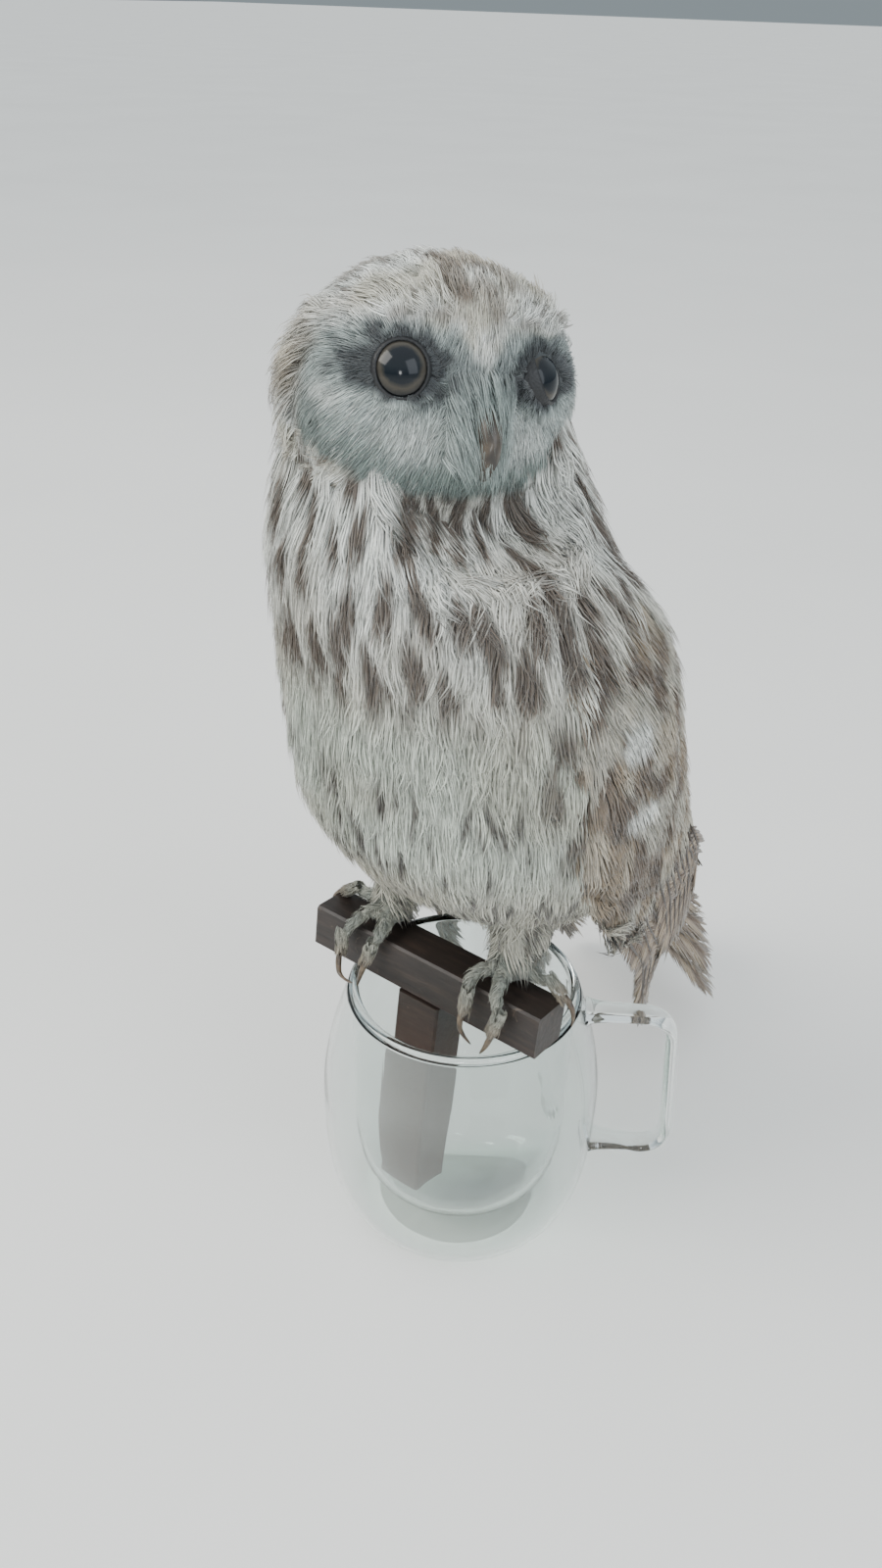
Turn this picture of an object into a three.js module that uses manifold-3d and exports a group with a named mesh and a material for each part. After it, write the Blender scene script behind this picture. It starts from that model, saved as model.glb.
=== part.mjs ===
// A short-eared owl prepared as a standing mount. It grips a dark wooden T-perch,
// and the perch's post stands in a double-walled glass mug.
// Millimetres, +Z up. The origin is the middle of the mug's foot, on the ground.
// The owl's breast faces -Y, its left side is +X, and the perch's bar runs along X.

import * as THREE from 'three';
import { mergeVertices } from 'three/addons/utils/BufferGeometryUtils.js';
import Module from 'manifold-3d';

const wasm = await Module();
wasm.setup();

// ---------------------------------------------------------------- driving dimensions

const GAP = 0.3; // clearance between pieces that touch

// Mug
const MUG_HEIGHT = 100;
const MUG_RIM_RADIUS = 40;
const MUG_BELLY_RADIUS = 50;
const MUG_BELLY_HEIGHT = 56;
const MUG_FOOT_RADIUS = 30;
const MUG_WALL = 2;
const CUP_RADIUS = 38.8; // outside of the inner wall
const CUP_SHOULDER_HEIGHT = 42; // the inner wall is straight above this
const CUP_BOTTOM_HEIGHT = 8;
const HANDLE_REACH = 74; // from the mug's axis to the middle of the grip, at its top
const HANDLE_FLARE = 2.5; // the grip stands out this much more at its bottom
const HANDLE_TOP_HEIGHT = 90;
const HANDLE_BOTTOM_HEIGHT = 27.5;
const HANDLE_CORNER = 11;
const HANDLE_WIDTH = 9.5;
const HANDLE_THICKNESS = 4.6;
const HANDLE_TURN = THREE.MathUtils.degToRad(33);

// Perch
const BAR_LENGTH = 93;
const BAR_SIDE = 16;
const POST_SIDE = 17;
const POST_LENGTH = 81;
const WOOD_EDGE = 0.8;
const PERCH_CENTRE = new THREE.Vector3(-4.7, -11.55, 110.2);
const PERCH_LEAN = THREE.MathUtils.degToRad(-5.4);
const PERCH_ROLL = THREE.MathUtils.degToRad(1.2);

// Owl
const MID_X = -3.4; // the body's own middle plane
const NECK_BASE = 264;
const HEAD_CENTRE = new THREE.Vector3(-6.2, -18, 305);
const HEAD_HALF = new THREE.Vector3(41.5, 37.5, 37.5); // sideways, fore and aft, upright
const HEAD_TURN = THREE.MathUtils.degToRad(61.5);
const HEAD_ROLL = THREE.MathUtils.degToRad(8);
const DISC_START = 15; // the face flattens this far in front of the head's middle
const DISC_FLATNESS = 0.68;
const EYE_RADIUS = 8.6;
const EYE_PLACE = new THREE.Vector3(18.4, -18.6, 9.6); // in the head's frame, the left eye
const EYE_SPLAY = THREE.MathUtils.degToRad(14);
const TAIL_HALF_WIDTH = 45;
const TAIL_DROOP = 79; // fall of the outer feathers below the tail's ridge, at its end
const TAIL_ROUNDING = 0.23; // the outer feathers stop this share of the length short

// ------------------------------------------------------------------- shape helpers

// A closed solid for joining and cutting, from any closed geometry.
function solidOf(geometry) {
  const bare = geometry.clone();
  bare.deleteAttribute('normal');
  bare.deleteAttribute('uv');
  const merged = mergeVertices(bare);
  const vertProperties = new Float32Array(merged.attributes.position.array);
  const triVerts = new Uint32Array(merged.index.array);
  return new wasm.Manifold(new wasm.Mesh({ numProp: 3, vertProperties, triVerts }));
}

function geometryOf(solid) {
  const { vertProperties, triVerts } = solid.getMesh();
  const geometry = new THREE.BufferGeometry();
  geometry.setAttribute('position', new THREE.BufferAttribute(vertProperties, 3));
  geometry.setIndex(new THREE.BufferAttribute(triVerts, 1));
  geometry.computeVertexNormals();
  return geometry;
}

function cut(geometry, ...tools) {
  return geometryOf(tools.reduce((rest, tool) => rest.subtract(solidOf(tool)), solidOf(geometry)));
}

function joined(...geometries) {
  const [first, ...others] = geometries.map(solidOf);
  return geometryOf(others.reduce((whole, next) => whole.add(next), first));
}

// A closed skin with a pole at each end. place(round, rise) gives the point at an angle
// round the skin and at a share, 0 to 1, of the way from its bottom pole to its top one.
function closedSkin(around, along, place) {
  const geometry = new THREE.SphereGeometry(1, around, along);
  const { position, uv } = geometry.attributes;
  for (let i = 0; i < position.count; i += 1) {
    const atPole = uv.getY(i) === 0 || uv.getY(i) === 1;
    const round = atPole ? 0 : 2 * Math.PI * (uv.getX(i) % 1);
    const rise = (1 - Math.cos(Math.PI * uv.getY(i))) / 2;
    const point = place(round, rise);
    position.setXYZ(i, point.x, point.y, point.z);
  }
  return geometry;
}

// How full a skin is near its poles: 1 is an egg, and less is blunter.
function fullness(rise, bluntness) {
  return (2 * Math.sqrt(Math.max(rise * (1 - rise), 0))) ** bluntness;
}

// The values at x on a smooth curve through rows of [x, value, ...], in rising x.
function follow(rows, x) {
  const last = rows.length - 1;
  let i = 0;
  while (i < last - 1 && x > rows[i + 1][0]) i += 1;
  const [from, to] = [rows[i], rows[i + 1]];
  const [before, after] = [rows[Math.max(i - 1, 0)], rows[Math.min(i + 2, last)]];
  const span = to[0] - from[0];
  const s = THREE.MathUtils.clamp((x - from[0]) / span, 0, 1);
  return from.slice(1).map((start, k) => {
    const end = to[k + 1];
    const slopeIn = ((end - before[k + 1]) / (to[0] - before[0])) * span;
    const slopeOut = ((after[k + 1] - start) / (after[0] - from[0])) * span;
    const bend = s * s * (3 - 2 * s);
    return start + (end - start) * bend + slopeIn * s * (1 - s) ** 2 - slopeOut * s * s * (1 - s);
  });
}

// A limb or feather stack along a curve through points, with a flat-oval section.
// width(rise) and depth(rise) are half sizes; broad is the direction of the width.
function limb(points, broad, width, depth, around, along) {
  const spine = new THREE.CatmullRomCurve3(points);
  return closedSkin(around, along, (round, rise) => {
    const centre = spine.getPoint(rise);
    const run = spine.getTangent(rise);
    const outward = new THREE.Vector3().crossVectors(run, broad).normalize();
    const side = new THREE.Vector3().crossVectors(outward, run).normalize();
    return centre
      .addScaledVector(side, Math.cos(round) * width(rise))
      .addScaledVector(outward, Math.sin(round) * depth(rise));
  });
}

// ---------------------------------------------------------------------- materials

function finish(color, roughness, metalness = 0, more = {}) {
  return new THREE.MeshStandardMaterial({ color, roughness, metalness, ...more });
}

const plumageCream = () => finish('#b9b4a4', 0.9);
const plumageBrown = () => finish('#7d6f62', 0.9);
const feetDown = () => finish('#8f968c', 0.95);
const claw = () => finish('#3a332e', 0.45);
const eyeGlass = () => finish('#6f604c', 0.15);
const billHorn = () => finish('#5b544c', 0.5);
const paintedWood = () => finish('#3c3532', 0.6);
const clearGlass = () => finish('#e3e2dd', 0.05, 0, { transparent: true, opacity: 0.35 });

function named(name, geometry, material) {
  const mesh = new THREE.Mesh(geometry, material);
  mesh.name = name;
  return mesh;
}

// ---------------------------------------------------------------------------- mug

const MUG_SEGMENTS = 28;

// Radius of the mug's outer wall at a height. The belly is a full superellipse below
// its widest ring, and draws in gently to the rim above it.
function mugRadius(height) {
  if (height > MUG_BELLY_HEIGHT) {
    const share = (height - MUG_BELLY_HEIGHT) / (MUG_HEIGHT - MUG_BELLY_HEIGHT);
    return MUG_BELLY_RADIUS - (MUG_BELLY_RADIUS - MUG_RIM_RADIUS) * share ** 1.6;
  }
  const share = 1 - height / MUG_BELLY_HEIGHT;
  const swell = MUG_BELLY_RADIUS - MUG_FOOT_RADIUS;
  return MUG_FOOT_RADIUS + swell * (1 - share ** 2.8) ** (1 / 2.8);
}

// Height of the inner wall's bowl at a radius, for a bowl of a given size.
function bowlHeight(radius, bowlRadius, bottom) {
  const share = Math.min(radius / bowlRadius, 1);
  return CUP_SHOULDER_HEIGHT - (CUP_SHOULDER_HEIGHT - bottom) * (1 - share ** 2.6) ** (1 / 2.6);
}

function lathe(points) {
  const profile = points.map(([radius, height]) => new THREE.Vector2(radius, height));
  return new THREE.LatheGeometry(profile, MUG_SEGMENTS).rotateX(Math.PI / 2);
}

function mugOuter(grow = 0) {
  const outside = [[0, -grow]];
  const steps = 7;
  const lip = MUG_HEIGHT - MUG_WALL - GAP;
  for (let i = 0; i <= steps; i += 1) {
    const height = lip * (1 - Math.cos((Math.PI * i) / steps)) / 2;
    outside.push([mugRadius(height) + grow, i === 0 ? -grow : height]);
  }
  if (grow > 0) {
    return lathe([...outside, [0, lip]]);
  }
  const inside = outside.slice(2).reverse().map(([radius, height]) => [
    Math.max(radius - MUG_WALL, CUP_RADIUS + GAP), height]);
  const floor = [[MUG_FOOT_RADIUS - 1, 1.1 * MUG_WALL], [0, 1.1 * MUG_WALL]];
  return lathe([...outside, ...inside, ...floor]);
}

function mugInner() {
  const steps = 5;
  const outside = [];
  const inside = [];
  const innerRadius = CUP_RADIUS - MUG_WALL;
  for (let i = 0; i <= steps; i += 1) {
    const share = Math.sin((Math.PI / 2) * (i / steps));
    outside.push([CUP_RADIUS * share, bowlHeight(CUP_RADIUS * share, CUP_RADIUS, CUP_BOTTOM_HEIGHT)]);
    const bottom = CUP_BOTTOM_HEIGHT + MUG_WALL;
    inside.unshift([innerRadius * share, bowlHeight(innerRadius * share, innerRadius, bottom)]);
  }
  const lip = MUG_HEIGHT - MUG_WALL;
  const rim = [
    [CUP_RADIUS, lip],
    [MUG_RIM_RADIUS, lip],
    [MUG_RIM_RADIUS, MUG_HEIGHT - 0.6],
    [MUG_RIM_RADIUS - 1, MUG_HEIGHT],
    [innerRadius + 0.5, MUG_HEIGHT - 0.5],
    [innerRadius - 0.2, lip - 1.5],
  ];
  return lathe([...outside, ...rim, ...inside]);
}

// A flattened rod bent into a D, let into the outer wall at both ends.
function mugHandle() {
  const path = new THREE.CurvePath();
  const reach = HANDLE_REACH;
  const lowReach = HANDLE_REACH + HANDLE_FLARE;
  const [top, bottom, corner] = [HANDLE_TOP_HEIGHT, HANDLE_BOTTOM_HEIGHT, HANDLE_CORNER];
  const at = (x, z) => new THREE.Vector3(x, 0, z);
  path.add(new THREE.LineCurve3(at(38, top), at(reach - corner, top)));
  path.add(new THREE.QuadraticBezierCurve3(at(reach - corner, top), at(reach, top), at(reach, top - corner)));
  path.add(new THREE.LineCurve3(at(reach, top - corner), at(lowReach, bottom + corner)));
  path.add(new THREE.QuadraticBezierCurve3(
    at(lowReach, bottom + corner), at(lowReach, bottom), at(lowReach - corner, bottom)));
  path.add(new THREE.LineCurve3(at(lowReach - corner, bottom), at(42, bottom + 1)));
  const route = path.getSpacedPoints(22);
  const section = new THREE.Shape();
  section.absellipse(0, 0, HANDLE_THICKNESS / 2, HANDLE_WIDTH / 2, 0, 2 * Math.PI);
  const rod = new THREE.ExtrudeGeometry(section, {
    extrudePath: new THREE.CatmullRomCurve3(route), steps: 22, curveSegments: 4, bevelEnabled: false,
  });
  return cut(rod.rotateZ(HANDLE_TURN), mugOuter(GAP));
}

// -------------------------------------------------------------------------- perch

// A square batten of a given length along X, its long edges eased.
function batten(side, length) {
  const half = side / 2;
  const outline = new THREE.Shape();
  const corners = [[1, 1], [-1, 1], [-1, -1], [1, -1]];
  corners.forEach(([sx, sy], i) => {
    const along = [[sx * half, sy * (half - WOOD_EDGE)], [sx * (half - WOOD_EDGE), sy * half]];
    const ordered = i % 2 ? [...along].reverse() : along;
    ordered.forEach(([x, y]) => (i === 0 && x === half ? outline.moveTo(x, y) : outline.lineTo(x, y)));
  });
  const geometry = new THREE.ExtrudeGeometry(outline, { depth: length, bevelEnabled: false });
  return geometry.translate(0, 0, -length / 2).rotateY(Math.PI / 2);
}

const bar = batten(BAR_SIDE, BAR_LENGTH);
const post = batten(POST_SIDE, POST_LENGTH)
  .rotateY(Math.PI / 2)
  .translate(0, 0, -BAR_SIDE / 2 - GAP - POST_LENGTH / 2);

// -------------------------------------------------------------------- trunk, neck

// height, half width, half depth, middle x, middle y of the plumage's outline
const TORSO = [
  [122, 46, 44, -3, 12],
  [130, 53, 50, -3.4, 12],
  [140, 62, 58, -3.4, 11],
  [150, 64.5, 60, -3.4, 10],
  [165, 68, 63.5, -3.4, 9],
  [182, 68, 62, -3.4, 7.5],
  [200, 65.5, 60, -3.4, 5.5],
  [218, 64.5, 59.5, -3.4, 3],
  [236, 61, 56.5, -3.4, -2.5],
  [256, 56.5, 53.5, -4.5, -11.5],
  [273, 53.5, 52, -8, -13],
  [290, 52, 50, -11, -12.5],
  [304, 51, 49, -12.5, -11],
  [324, 50, 48, -14, -12],
];
const TORSO_BLUNTNESS = 0.5;
const BELLY_SLOPE = 0.36; // the belly's underside falls towards the tail by this much

function torso(grow = 0) {
  const bottom = TORSO[0][0] - grow;
  const height = TORSO[TORSO.length - 1][0] + grow - bottom;
  return closedSkin(28, 19, (round, rise) => {
    const z = bottom + rise * height;
    const [halfWidth, halfDepth, x, y] = follow(TORSO, z);
    const full = fullness(rise, TORSO_BLUNTNESS);
    const back = Math.sin(round) * (halfDepth + grow) * full;
    return new THREE.Vector3(
      x + Math.cos(round) * (halfWidth + grow) * full,
      y + back,
      z - BELLY_SLOPE * back * (1 - rise) ** 4);
  });
}

// --------------------------------------------------------------------------- head

const headTurn = new THREE.Euler(0, HEAD_ROLL, HEAD_TURN, 'ZYX');
const headMatrix = new THREE.Matrix4()
  .makeRotationFromEuler(headTurn)
  .setPosition(HEAD_CENTRE);

// An egg that flattens in front into the facial disc: a ridge down the middle for the
// brow and bill, and a shallow dish round each eye.
function headShape(grow = 0) {
  return closedSkin(24, 17, (round, rise) => {
    const level = 2 * rise - 1;
    const spread = Math.sqrt(Math.max(1 - level * level, 0));
    const x = (HEAD_HALF.x + grow) * spread * Math.cos(round);
    const z = (HEAD_HALF.z + grow) * level;
    const back = (HEAD_HALF.y + grow) * spread * Math.sin(round);
    if (-back < DISC_START) return new THREE.Vector3(x, back, z);
    const ridge = 3.5 * Math.exp(-((x / 8) ** 2) - (((z + 4) / 20) ** 2));
    const dish = 1.8 * Math.exp(-(((Math.abs(x) - 19) / 12) ** 2) - (((z - 9) / 13) ** 2));
    const front = DISC_START + (-back - DISC_START) * DISC_FLATNESS;
    const share = Math.min((-back - DISC_START) / 8, 1);
    return new THREE.Vector3(x, -front - (ridge - dish) * share, z);
  });
}

// The hollow in the ruff in front of the facial disc.
const FACE_CLEARANCE = { half: [43, 24, 38], place: [0, -39, 4] };

function faceHollow() {
  const { half, place } = FACE_CLEARANCE;
  return new THREE.SphereGeometry(1, 16, 10).rotateX(Math.PI / 2).scale(...half).translate(...place);
}

function eyeBall(side, grow = 0) {
  const ball = new THREE.SphereGeometry(EYE_RADIUS + grow, 12, 8).rotateX(Math.PI / 2);
  return ball.rotateZ(side * EYE_SPLAY).translate(side * EYE_PLACE.x, EYE_PLACE.y, EYE_PLACE.z);
}

// The bill is short and hooked: its ridge leaves the face and turns straight down.
function billShape(grow = 0) {
  const ends = 2 * grow;
  const points = [
    [0, -22 + ends, 5 + grow], [0, -30, 3], [0, -35, -2], [0, -36, -8], [0, -33.5 + grow, -12.5 - ends],
  ];
  return limb(
    points.map(([x, y, z]) => new THREE.Vector3(x, y, z)),
    new THREE.Vector3(1, 0, 0),
    (rise) => 4.6 * fullness(rise, 0.8) * (1 - 0.62 * rise) + grow,
    (rise) => 5 * fullness(rise, 0.8) * (1 - 0.55 * rise) + grow,
    8, 8);
}

// -------------------------------------------------------------------------- wings

// The left wing folded on the flank, from the primaries' tips up to the shoulder: height,
// then x and y of its leading edge and of its trailing edge, and half its thickness.
const WING = [
  [64, 43, 52, 42, 67, 1.2],
  [78, 43.5, 47, 42, 69, 1.6],
  [96, 46, 35, 43.5, 70, 2.8],
  [113, 50, 20, 46, 77, 4.5],
  [134, 51.5, 2, 45.5, 76, 6.5],
  [160, 54, -14, 43.5, 68, 11],
  [195, 53.5, -25, 32, 59, 19],
  [228, 50.5, -31, 32, 49, 19.5],
  [256, 44, -34, 36, 26, 13],
  [272, 40, -22, 36, 4, 7],
];
const WING_BLUNTNESS = 0.3;

function wingShape() {
  const bottom = WING[0][0];
  const height = WING[WING.length - 1][0] - bottom;
  return closedSkin(14, 15, (round, rise) => {
    const z = bottom + rise * height;
    const [leadX, leadY, trailX, trailY, thick] = follow(WING, z);
    const full = fullness(rise, WING_BLUNTNESS);
    const chord = new THREE.Vector3(trailX - leadX, trailY - leadY, 0).multiplyScalar(0.5);
    const outward = new THREE.Vector3(chord.y, -chord.x, 0).normalize();
    return new THREE.Vector3((leadX + trailX) / 2, (leadY + trailY) / 2, z)
      .addScaledVector(outward, Math.cos(round) * thick * full)
      .addScaledVector(chord, Math.sin(round) * full);
  });
}

function mirrored(geometry) {
  const flipped = geometry.clone().translate(-MID_X, 0, 0).scale(-1, 1, 1).translate(MID_X, 0, 0);
  const index = flipped.index.array;
  for (let i = 0; i < index.length; i += 3) {
    [index[i], index[i + 1]] = [index[i + 1], index[i]];
  }
  return flipped;
}

// --------------------------------------------------------------------------- tail

const TAIL_BASE = new THREE.Vector3(MID_X, 38, 126);
const TAIL_TIP = new THREE.Vector3(MID_X, 171, 54.5);

// A shallow roof of tail feathers, spread like a fan, its outer feathers shorter and
// hanging lower than the middle pair.
function tailShape() {
  const run = new THREE.Vector3().subVectors(TAIL_TIP, TAIL_BASE);
  return closedSkin(20, 12, (round, rise) => {
    const down = 1 - rise;
    const full = fullness(rise, 0.1);
    const across = Math.cos(round) * full;
    const halfWidth = THREE.MathUtils.lerp(13, TAIL_HALF_WIDTH, down ** 0.8);
    const thick = THREE.MathUtils.lerp(8, 1.5, down ** 0.5) * full;
    const reach = down * (1 - TAIL_ROUNDING * across * across);
    const point = TAIL_BASE.clone().addScaledVector(run, reach);
    point.x += across * halfWidth;
    point.z += Math.sin(round) * thick - TAIL_DROOP * down ** 1.4 * across * across;
    return point;
  });
}

// ------------------------------------------------------------------ legs and feet

// Each toe runs from the foot's ball over the bar: start, knuckle, pad at the claw.
// All are in the perch's frame, where the bar's top is at half its side.
const FEET = {
  left: {
    ball: [26, 3, 13],
    toes: {
      inner: [[24, 1, 14.5], [20.5, -8.5, 13], [21.3, -12.6, 5.5]],
      middle: [[28, 1, 14.5], [30.5, -9, 13], [33.8, -13.2, 3]],
      outer: [[29, 4, 14], [37, 5, 13.2], [43.5, 6, 11.8]],
      hind: [[26, 6, 13.5], [27, 12, 10], [27.5, 13.5, 2]],
    },
  },
  right: {
    ball: [-22, 3, 13],
    toes: {
      inner: [[-19.5, 1, 14.5], [-17.5, -9, 12.5], [-18.9, -12.8, 4]],
      middle: [[-24, 1, 14.5], [-28, -8.5, 12.5], [-31, -12.8, 2.5]],
      outer: [[-25, 4, 14], [-34, 4.5, 13.2], [-41.5, 4, 11.8]],
      hind: [[-22, 6, 13.5], [-23, 12, 10], [-23.5, 13.5, 2]],
    },
  },
};
const TOE_RADIUS = 3.7;
const CLAW_RADIUS = 1.7;
// Claws curve on from the toes: root, middle, point.
const CLAWS = {
  left: {
    inner: [[21, -13, 2.5], [21.3, -14.5, -5], [26, -13, -10.4]],
    middle: [[33.5, -13.2, 0], [32, -14.2, -6.5], [29.2, -13, -12.2]],
    outer: [[46, 6.2, 10.5], [50.5, 6.5, 6], [50.8, 7, -1]],
    hind: [[27.6, 13, -1], [27.6, 13.4, -8], [27, 11, -14]],
  },
  right: {
    inner: [[-19.6, -13, 1.2], [-20.8, -14.2, -5.5], [-22.7, -13, -12]],
    middle: [[-31.3, -13.2, -0.8], [-28, -16.8, -7.2], [-20, -18.6, -6.4]],
    outer: [[-43.8, 4, 10.5], [-48.5, 3.8, 6], [-49, 3.6, -1]],
    hind: [[-23.5, 13, -1], [-23.5, 13.4, -8], [-23, 11, -14]],
  },
};

const vector = ([x, y, z]) => new THREE.Vector3(x, y, z);
// A direction across a toe or claw that is never in line with it.
const ACROSS = new THREE.Vector3(0.97, 0.22, 0.1).normalize();
const ALONG_BAR = new THREE.Vector3(0.1, 0.97, 0.22).normalize();

function acrossFor(toe) {
  return toe === 'outer' ? ALONG_BAR : ACROSS;
}

function toeShape(toe, points, grow = 0) {
  const radius = (rise) => (TOE_RADIUS - 0.6 * rise) * fullness(rise, 0.5) + grow;
  return limb(points.map(vector), acrossFor(toe), radius, radius, 8, 6);
}

function clawShape(toe, points) {
  const radius = (rise) => CLAW_RADIUS * (1 - 0.78 * rise) * fullness(rise, 0.4);
  return limb(points.map(vector), acrossFor(toe), radius, radius, 6, 6);
}

function footShape(side) {
  const { ball, toes } = FEET[side];
  const heel = new THREE.SphereGeometry(1, 10, 6).scale(7, 6.5, 4.6).translate(...ball);
  const digits = Object.entries(toes).map(([toe, points]) => toeShape(toe, points));
  return joined(heel, ...digits);
}

// The feathered shank, from inside the belly down to the ball of the foot.
function legShape(side, matrix) {
  const [x, y, z] = FEET[side].ball;
  const foot = new THREE.Vector3(x, y, z).applyMatrix4(matrix);
  const hip = new THREE.Vector3(side === 'left' ? 22 : -27, 5, 158);
  const knee = new THREE.Vector3().lerpVectors(hip, foot, 0.55).add(new THREE.Vector3(0, 1.5, 0));
  const radius = (rise) => THREE.MathUtils.lerp(17, 7.2, rise) * fullness(rise, 0.4);
  return limb([hip, knee, foot], new THREE.Vector3(1, 0, 0), radius, radius, 10, 5);
}

// ------------------------------------------------------------------------ assembly

const model = new THREE.Group();

const mug = new THREE.Group();
mug.add(named('mug_outer', mugOuter(), clearGlass()));
mug.add(named('mug_inner', mugInner(), clearGlass()));
mug.add(named('mug_handle', mugHandle(), clearGlass()));
model.add(mug);

const perch = new THREE.Group();
perch.position.copy(PERCH_CENTRE);
perch.rotation.set(PERCH_LEAN, PERCH_ROLL, 0, 'XYZ');
perch.updateMatrixWorld(true);
perch.add(named('perch_bar', bar, paintedWood()));
perch.add(named('perch_post', post, paintedWood()));
model.add(perch);

const toPerch = perch.matrixWorld.clone().invert();
const grownTorso = torso(GAP);
const grownBar = batten(BAR_SIDE + 2 * GAP, BAR_LENGTH + 2 * GAP);
const grownHead = headShape(GAP).applyMatrix4(headMatrix);

const whole = solidOf(torso());
const trunkSolid = whole.trimByPlane([0, 0, -1], -(NECK_BASE - GAP / 2));
const collar = whole.trimByPlane([0, 0, 1], NECK_BASE + GAP / 2);
const ruff = collar
  .subtract(solidOf(grownHead))
  .subtract(solidOf(faceHollow().applyMatrix4(headMatrix)));
model.add(named('neck', geometryOf(ruff), plumageCream()));

const head = new THREE.Group();
head.applyMatrix4(headMatrix);
head.add(named('head', cut(headShape(), eyeBall(1, GAP), eyeBall(-1, GAP), billShape(GAP)), plumageCream()));
head.add(named('eye_left', eyeBall(1), eyeGlass()));
head.add(named('eye_right', eyeBall(-1), eyeGlass()));
head.add(named('bill', billShape(), billHorn()));
model.add(head);

const leftWing = wingShape();
for (const [side, wing] of [['left', leftWing], ['right', mirrored(leftWing)]]) {
  model.add(named(`wing_${side}`, cut(wing, grownTorso, grownHead), plumageBrown()));
}
model.add(named('tail', cut(tailShape(), grownTorso), plumageBrown()));

const feet = {};
for (const side of ['left', 'right']) {
  const clearOfBody = grownTorso.clone().applyMatrix4(toPerch);
  feet[side] = cut(footShape(side), grownBar, clearOfBody);
  const grownFoot = feet[side].clone().applyMatrix4(perch.matrixWorld);
  const leg = legShape(side, perch.matrixWorld);
  const barInPlace = grownBar.clone().applyMatrix4(perch.matrixWorld);
  perch.add(named(`foot_${side}`, feet[side], feetDown()));
  model.add(named(`leg_${side}`, cut(leg, grownTorso, barInPlace, grownFoot), feetDown()));
  for (const [toe, points] of Object.entries(CLAWS[side])) {
    const shape = clawShape(toe, points);
    perch.add(named(`claw_${side}_${toe}`, cut(shape, feet[side], grownBar), claw()));
  }
}
model.add(named('trunk', geometryOf(trunkSolid), plumageCream()));

export default model;
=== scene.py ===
import math

import bmesh
import bpy
import numpy as np
from mathutils import Euler, Matrix, Vector
from mathutils.bvhtree import BVHTree


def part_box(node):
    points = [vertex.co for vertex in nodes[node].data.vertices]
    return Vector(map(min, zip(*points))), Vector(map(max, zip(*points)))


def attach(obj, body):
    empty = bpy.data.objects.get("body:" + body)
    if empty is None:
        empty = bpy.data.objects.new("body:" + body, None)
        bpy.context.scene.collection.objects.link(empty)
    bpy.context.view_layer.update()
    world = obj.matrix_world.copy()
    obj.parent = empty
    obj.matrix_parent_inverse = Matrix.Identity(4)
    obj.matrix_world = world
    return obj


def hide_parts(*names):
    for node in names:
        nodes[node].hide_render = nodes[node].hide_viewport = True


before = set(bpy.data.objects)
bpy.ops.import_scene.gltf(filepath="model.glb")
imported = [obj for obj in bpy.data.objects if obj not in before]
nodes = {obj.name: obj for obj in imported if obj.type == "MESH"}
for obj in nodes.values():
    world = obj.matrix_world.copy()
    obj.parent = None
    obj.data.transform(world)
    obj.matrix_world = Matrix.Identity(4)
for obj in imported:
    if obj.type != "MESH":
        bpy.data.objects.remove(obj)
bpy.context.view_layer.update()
MM = 0.001

# ------------------------------------------------------------------------------ camera
# A phone's wide camera, held a little above the owl's head and in front of its left
# side, looking down at the mount.
CAMERA_PLACE = Vector((0.1983, -0.2925, 0.3949))
CAMERA_AZIMUTH = math.radians(35.8)  # from -Y towards +X
CAMERA_PITCH = math.radians(31.29)
CAMERA_ROLL = math.radians(1.64)
LENS_MM = 29.925
SENSOR_MM = 36.0

forward = Vector((
    -math.sin(CAMERA_AZIMUTH) * math.cos(CAMERA_PITCH),
    math.cos(CAMERA_AZIMUTH) * math.cos(CAMERA_PITCH),
    -math.sin(CAMERA_PITCH)))
level_right = Vector((math.cos(CAMERA_AZIMUTH), math.sin(CAMERA_AZIMUTH), 0))
level_up = level_right.cross(forward)
camera_right = level_right * math.cos(CAMERA_ROLL) + level_up * math.sin(CAMERA_ROLL)
camera_up = level_up * math.cos(CAMERA_ROLL) - level_right * math.sin(CAMERA_ROLL)
camera_data = bpy.data.cameras.new("camera")
camera_data.lens = LENS_MM
camera_data.sensor_width = SENSOR_MM
camera_data.clip_start = 0.01
camera = bpy.data.objects.new("camera", camera_data)
camera.matrix_world = (
    Matrix.Translation(CAMERA_PLACE)
    @ Matrix((camera_right, camera_up, -forward)).transposed().to_4x4())
bpy.context.scene.collection.objects.link(camera)
bpy.context.scene.camera = camera


# -------------------------------------------------------------------- floor and lights
# A plain pale studio floor in a bright even room. One broad soft window lights it from
# the camera's left, a weaker one from the right, and a small light glints in the eye.
def linear(code):
    """The linear colour of an sRGB hex code such as '#b9b4a4'."""
    values = [int(code[i:i + 2], 16) / 255 for i in (1, 3, 5)]
    return tuple(v / 12.92 if v <= 0.04045 else ((v + 0.055) / 1.055) ** 2.4 for v in values)


def add_node(tree, kind, inputs=None, **settings):
    """Adds a node; an input takes a value, or a socket to link from."""
    node = tree.nodes.new(kind)
    for key, value in settings.items():
        setattr(node, key, value)
    for key, value in (inputs or {}).items():
        if isinstance(value, bpy.types.NodeSocket):
            tree.links.new(value, node.inputs[key])
        elif isinstance(value, str):
            node.inputs[key].default_value = (*linear(value), 1)
        else:
            node.inputs[key].default_value = value
    return node


def new_material(name, **inputs):
    """A material with one Principled surface, and its tree and surface."""
    made = bpy.data.materials.new(name)
    made.use_nodes = True
    surface = made.node_tree.nodes["Principled BSDF"]
    for key, value in inputs.items():
        socket = surface.inputs[key.replace("_", " ")]
        socket.default_value = (*linear(value), 1) if isinstance(value, str) else value
    return made, made.node_tree, surface


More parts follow.
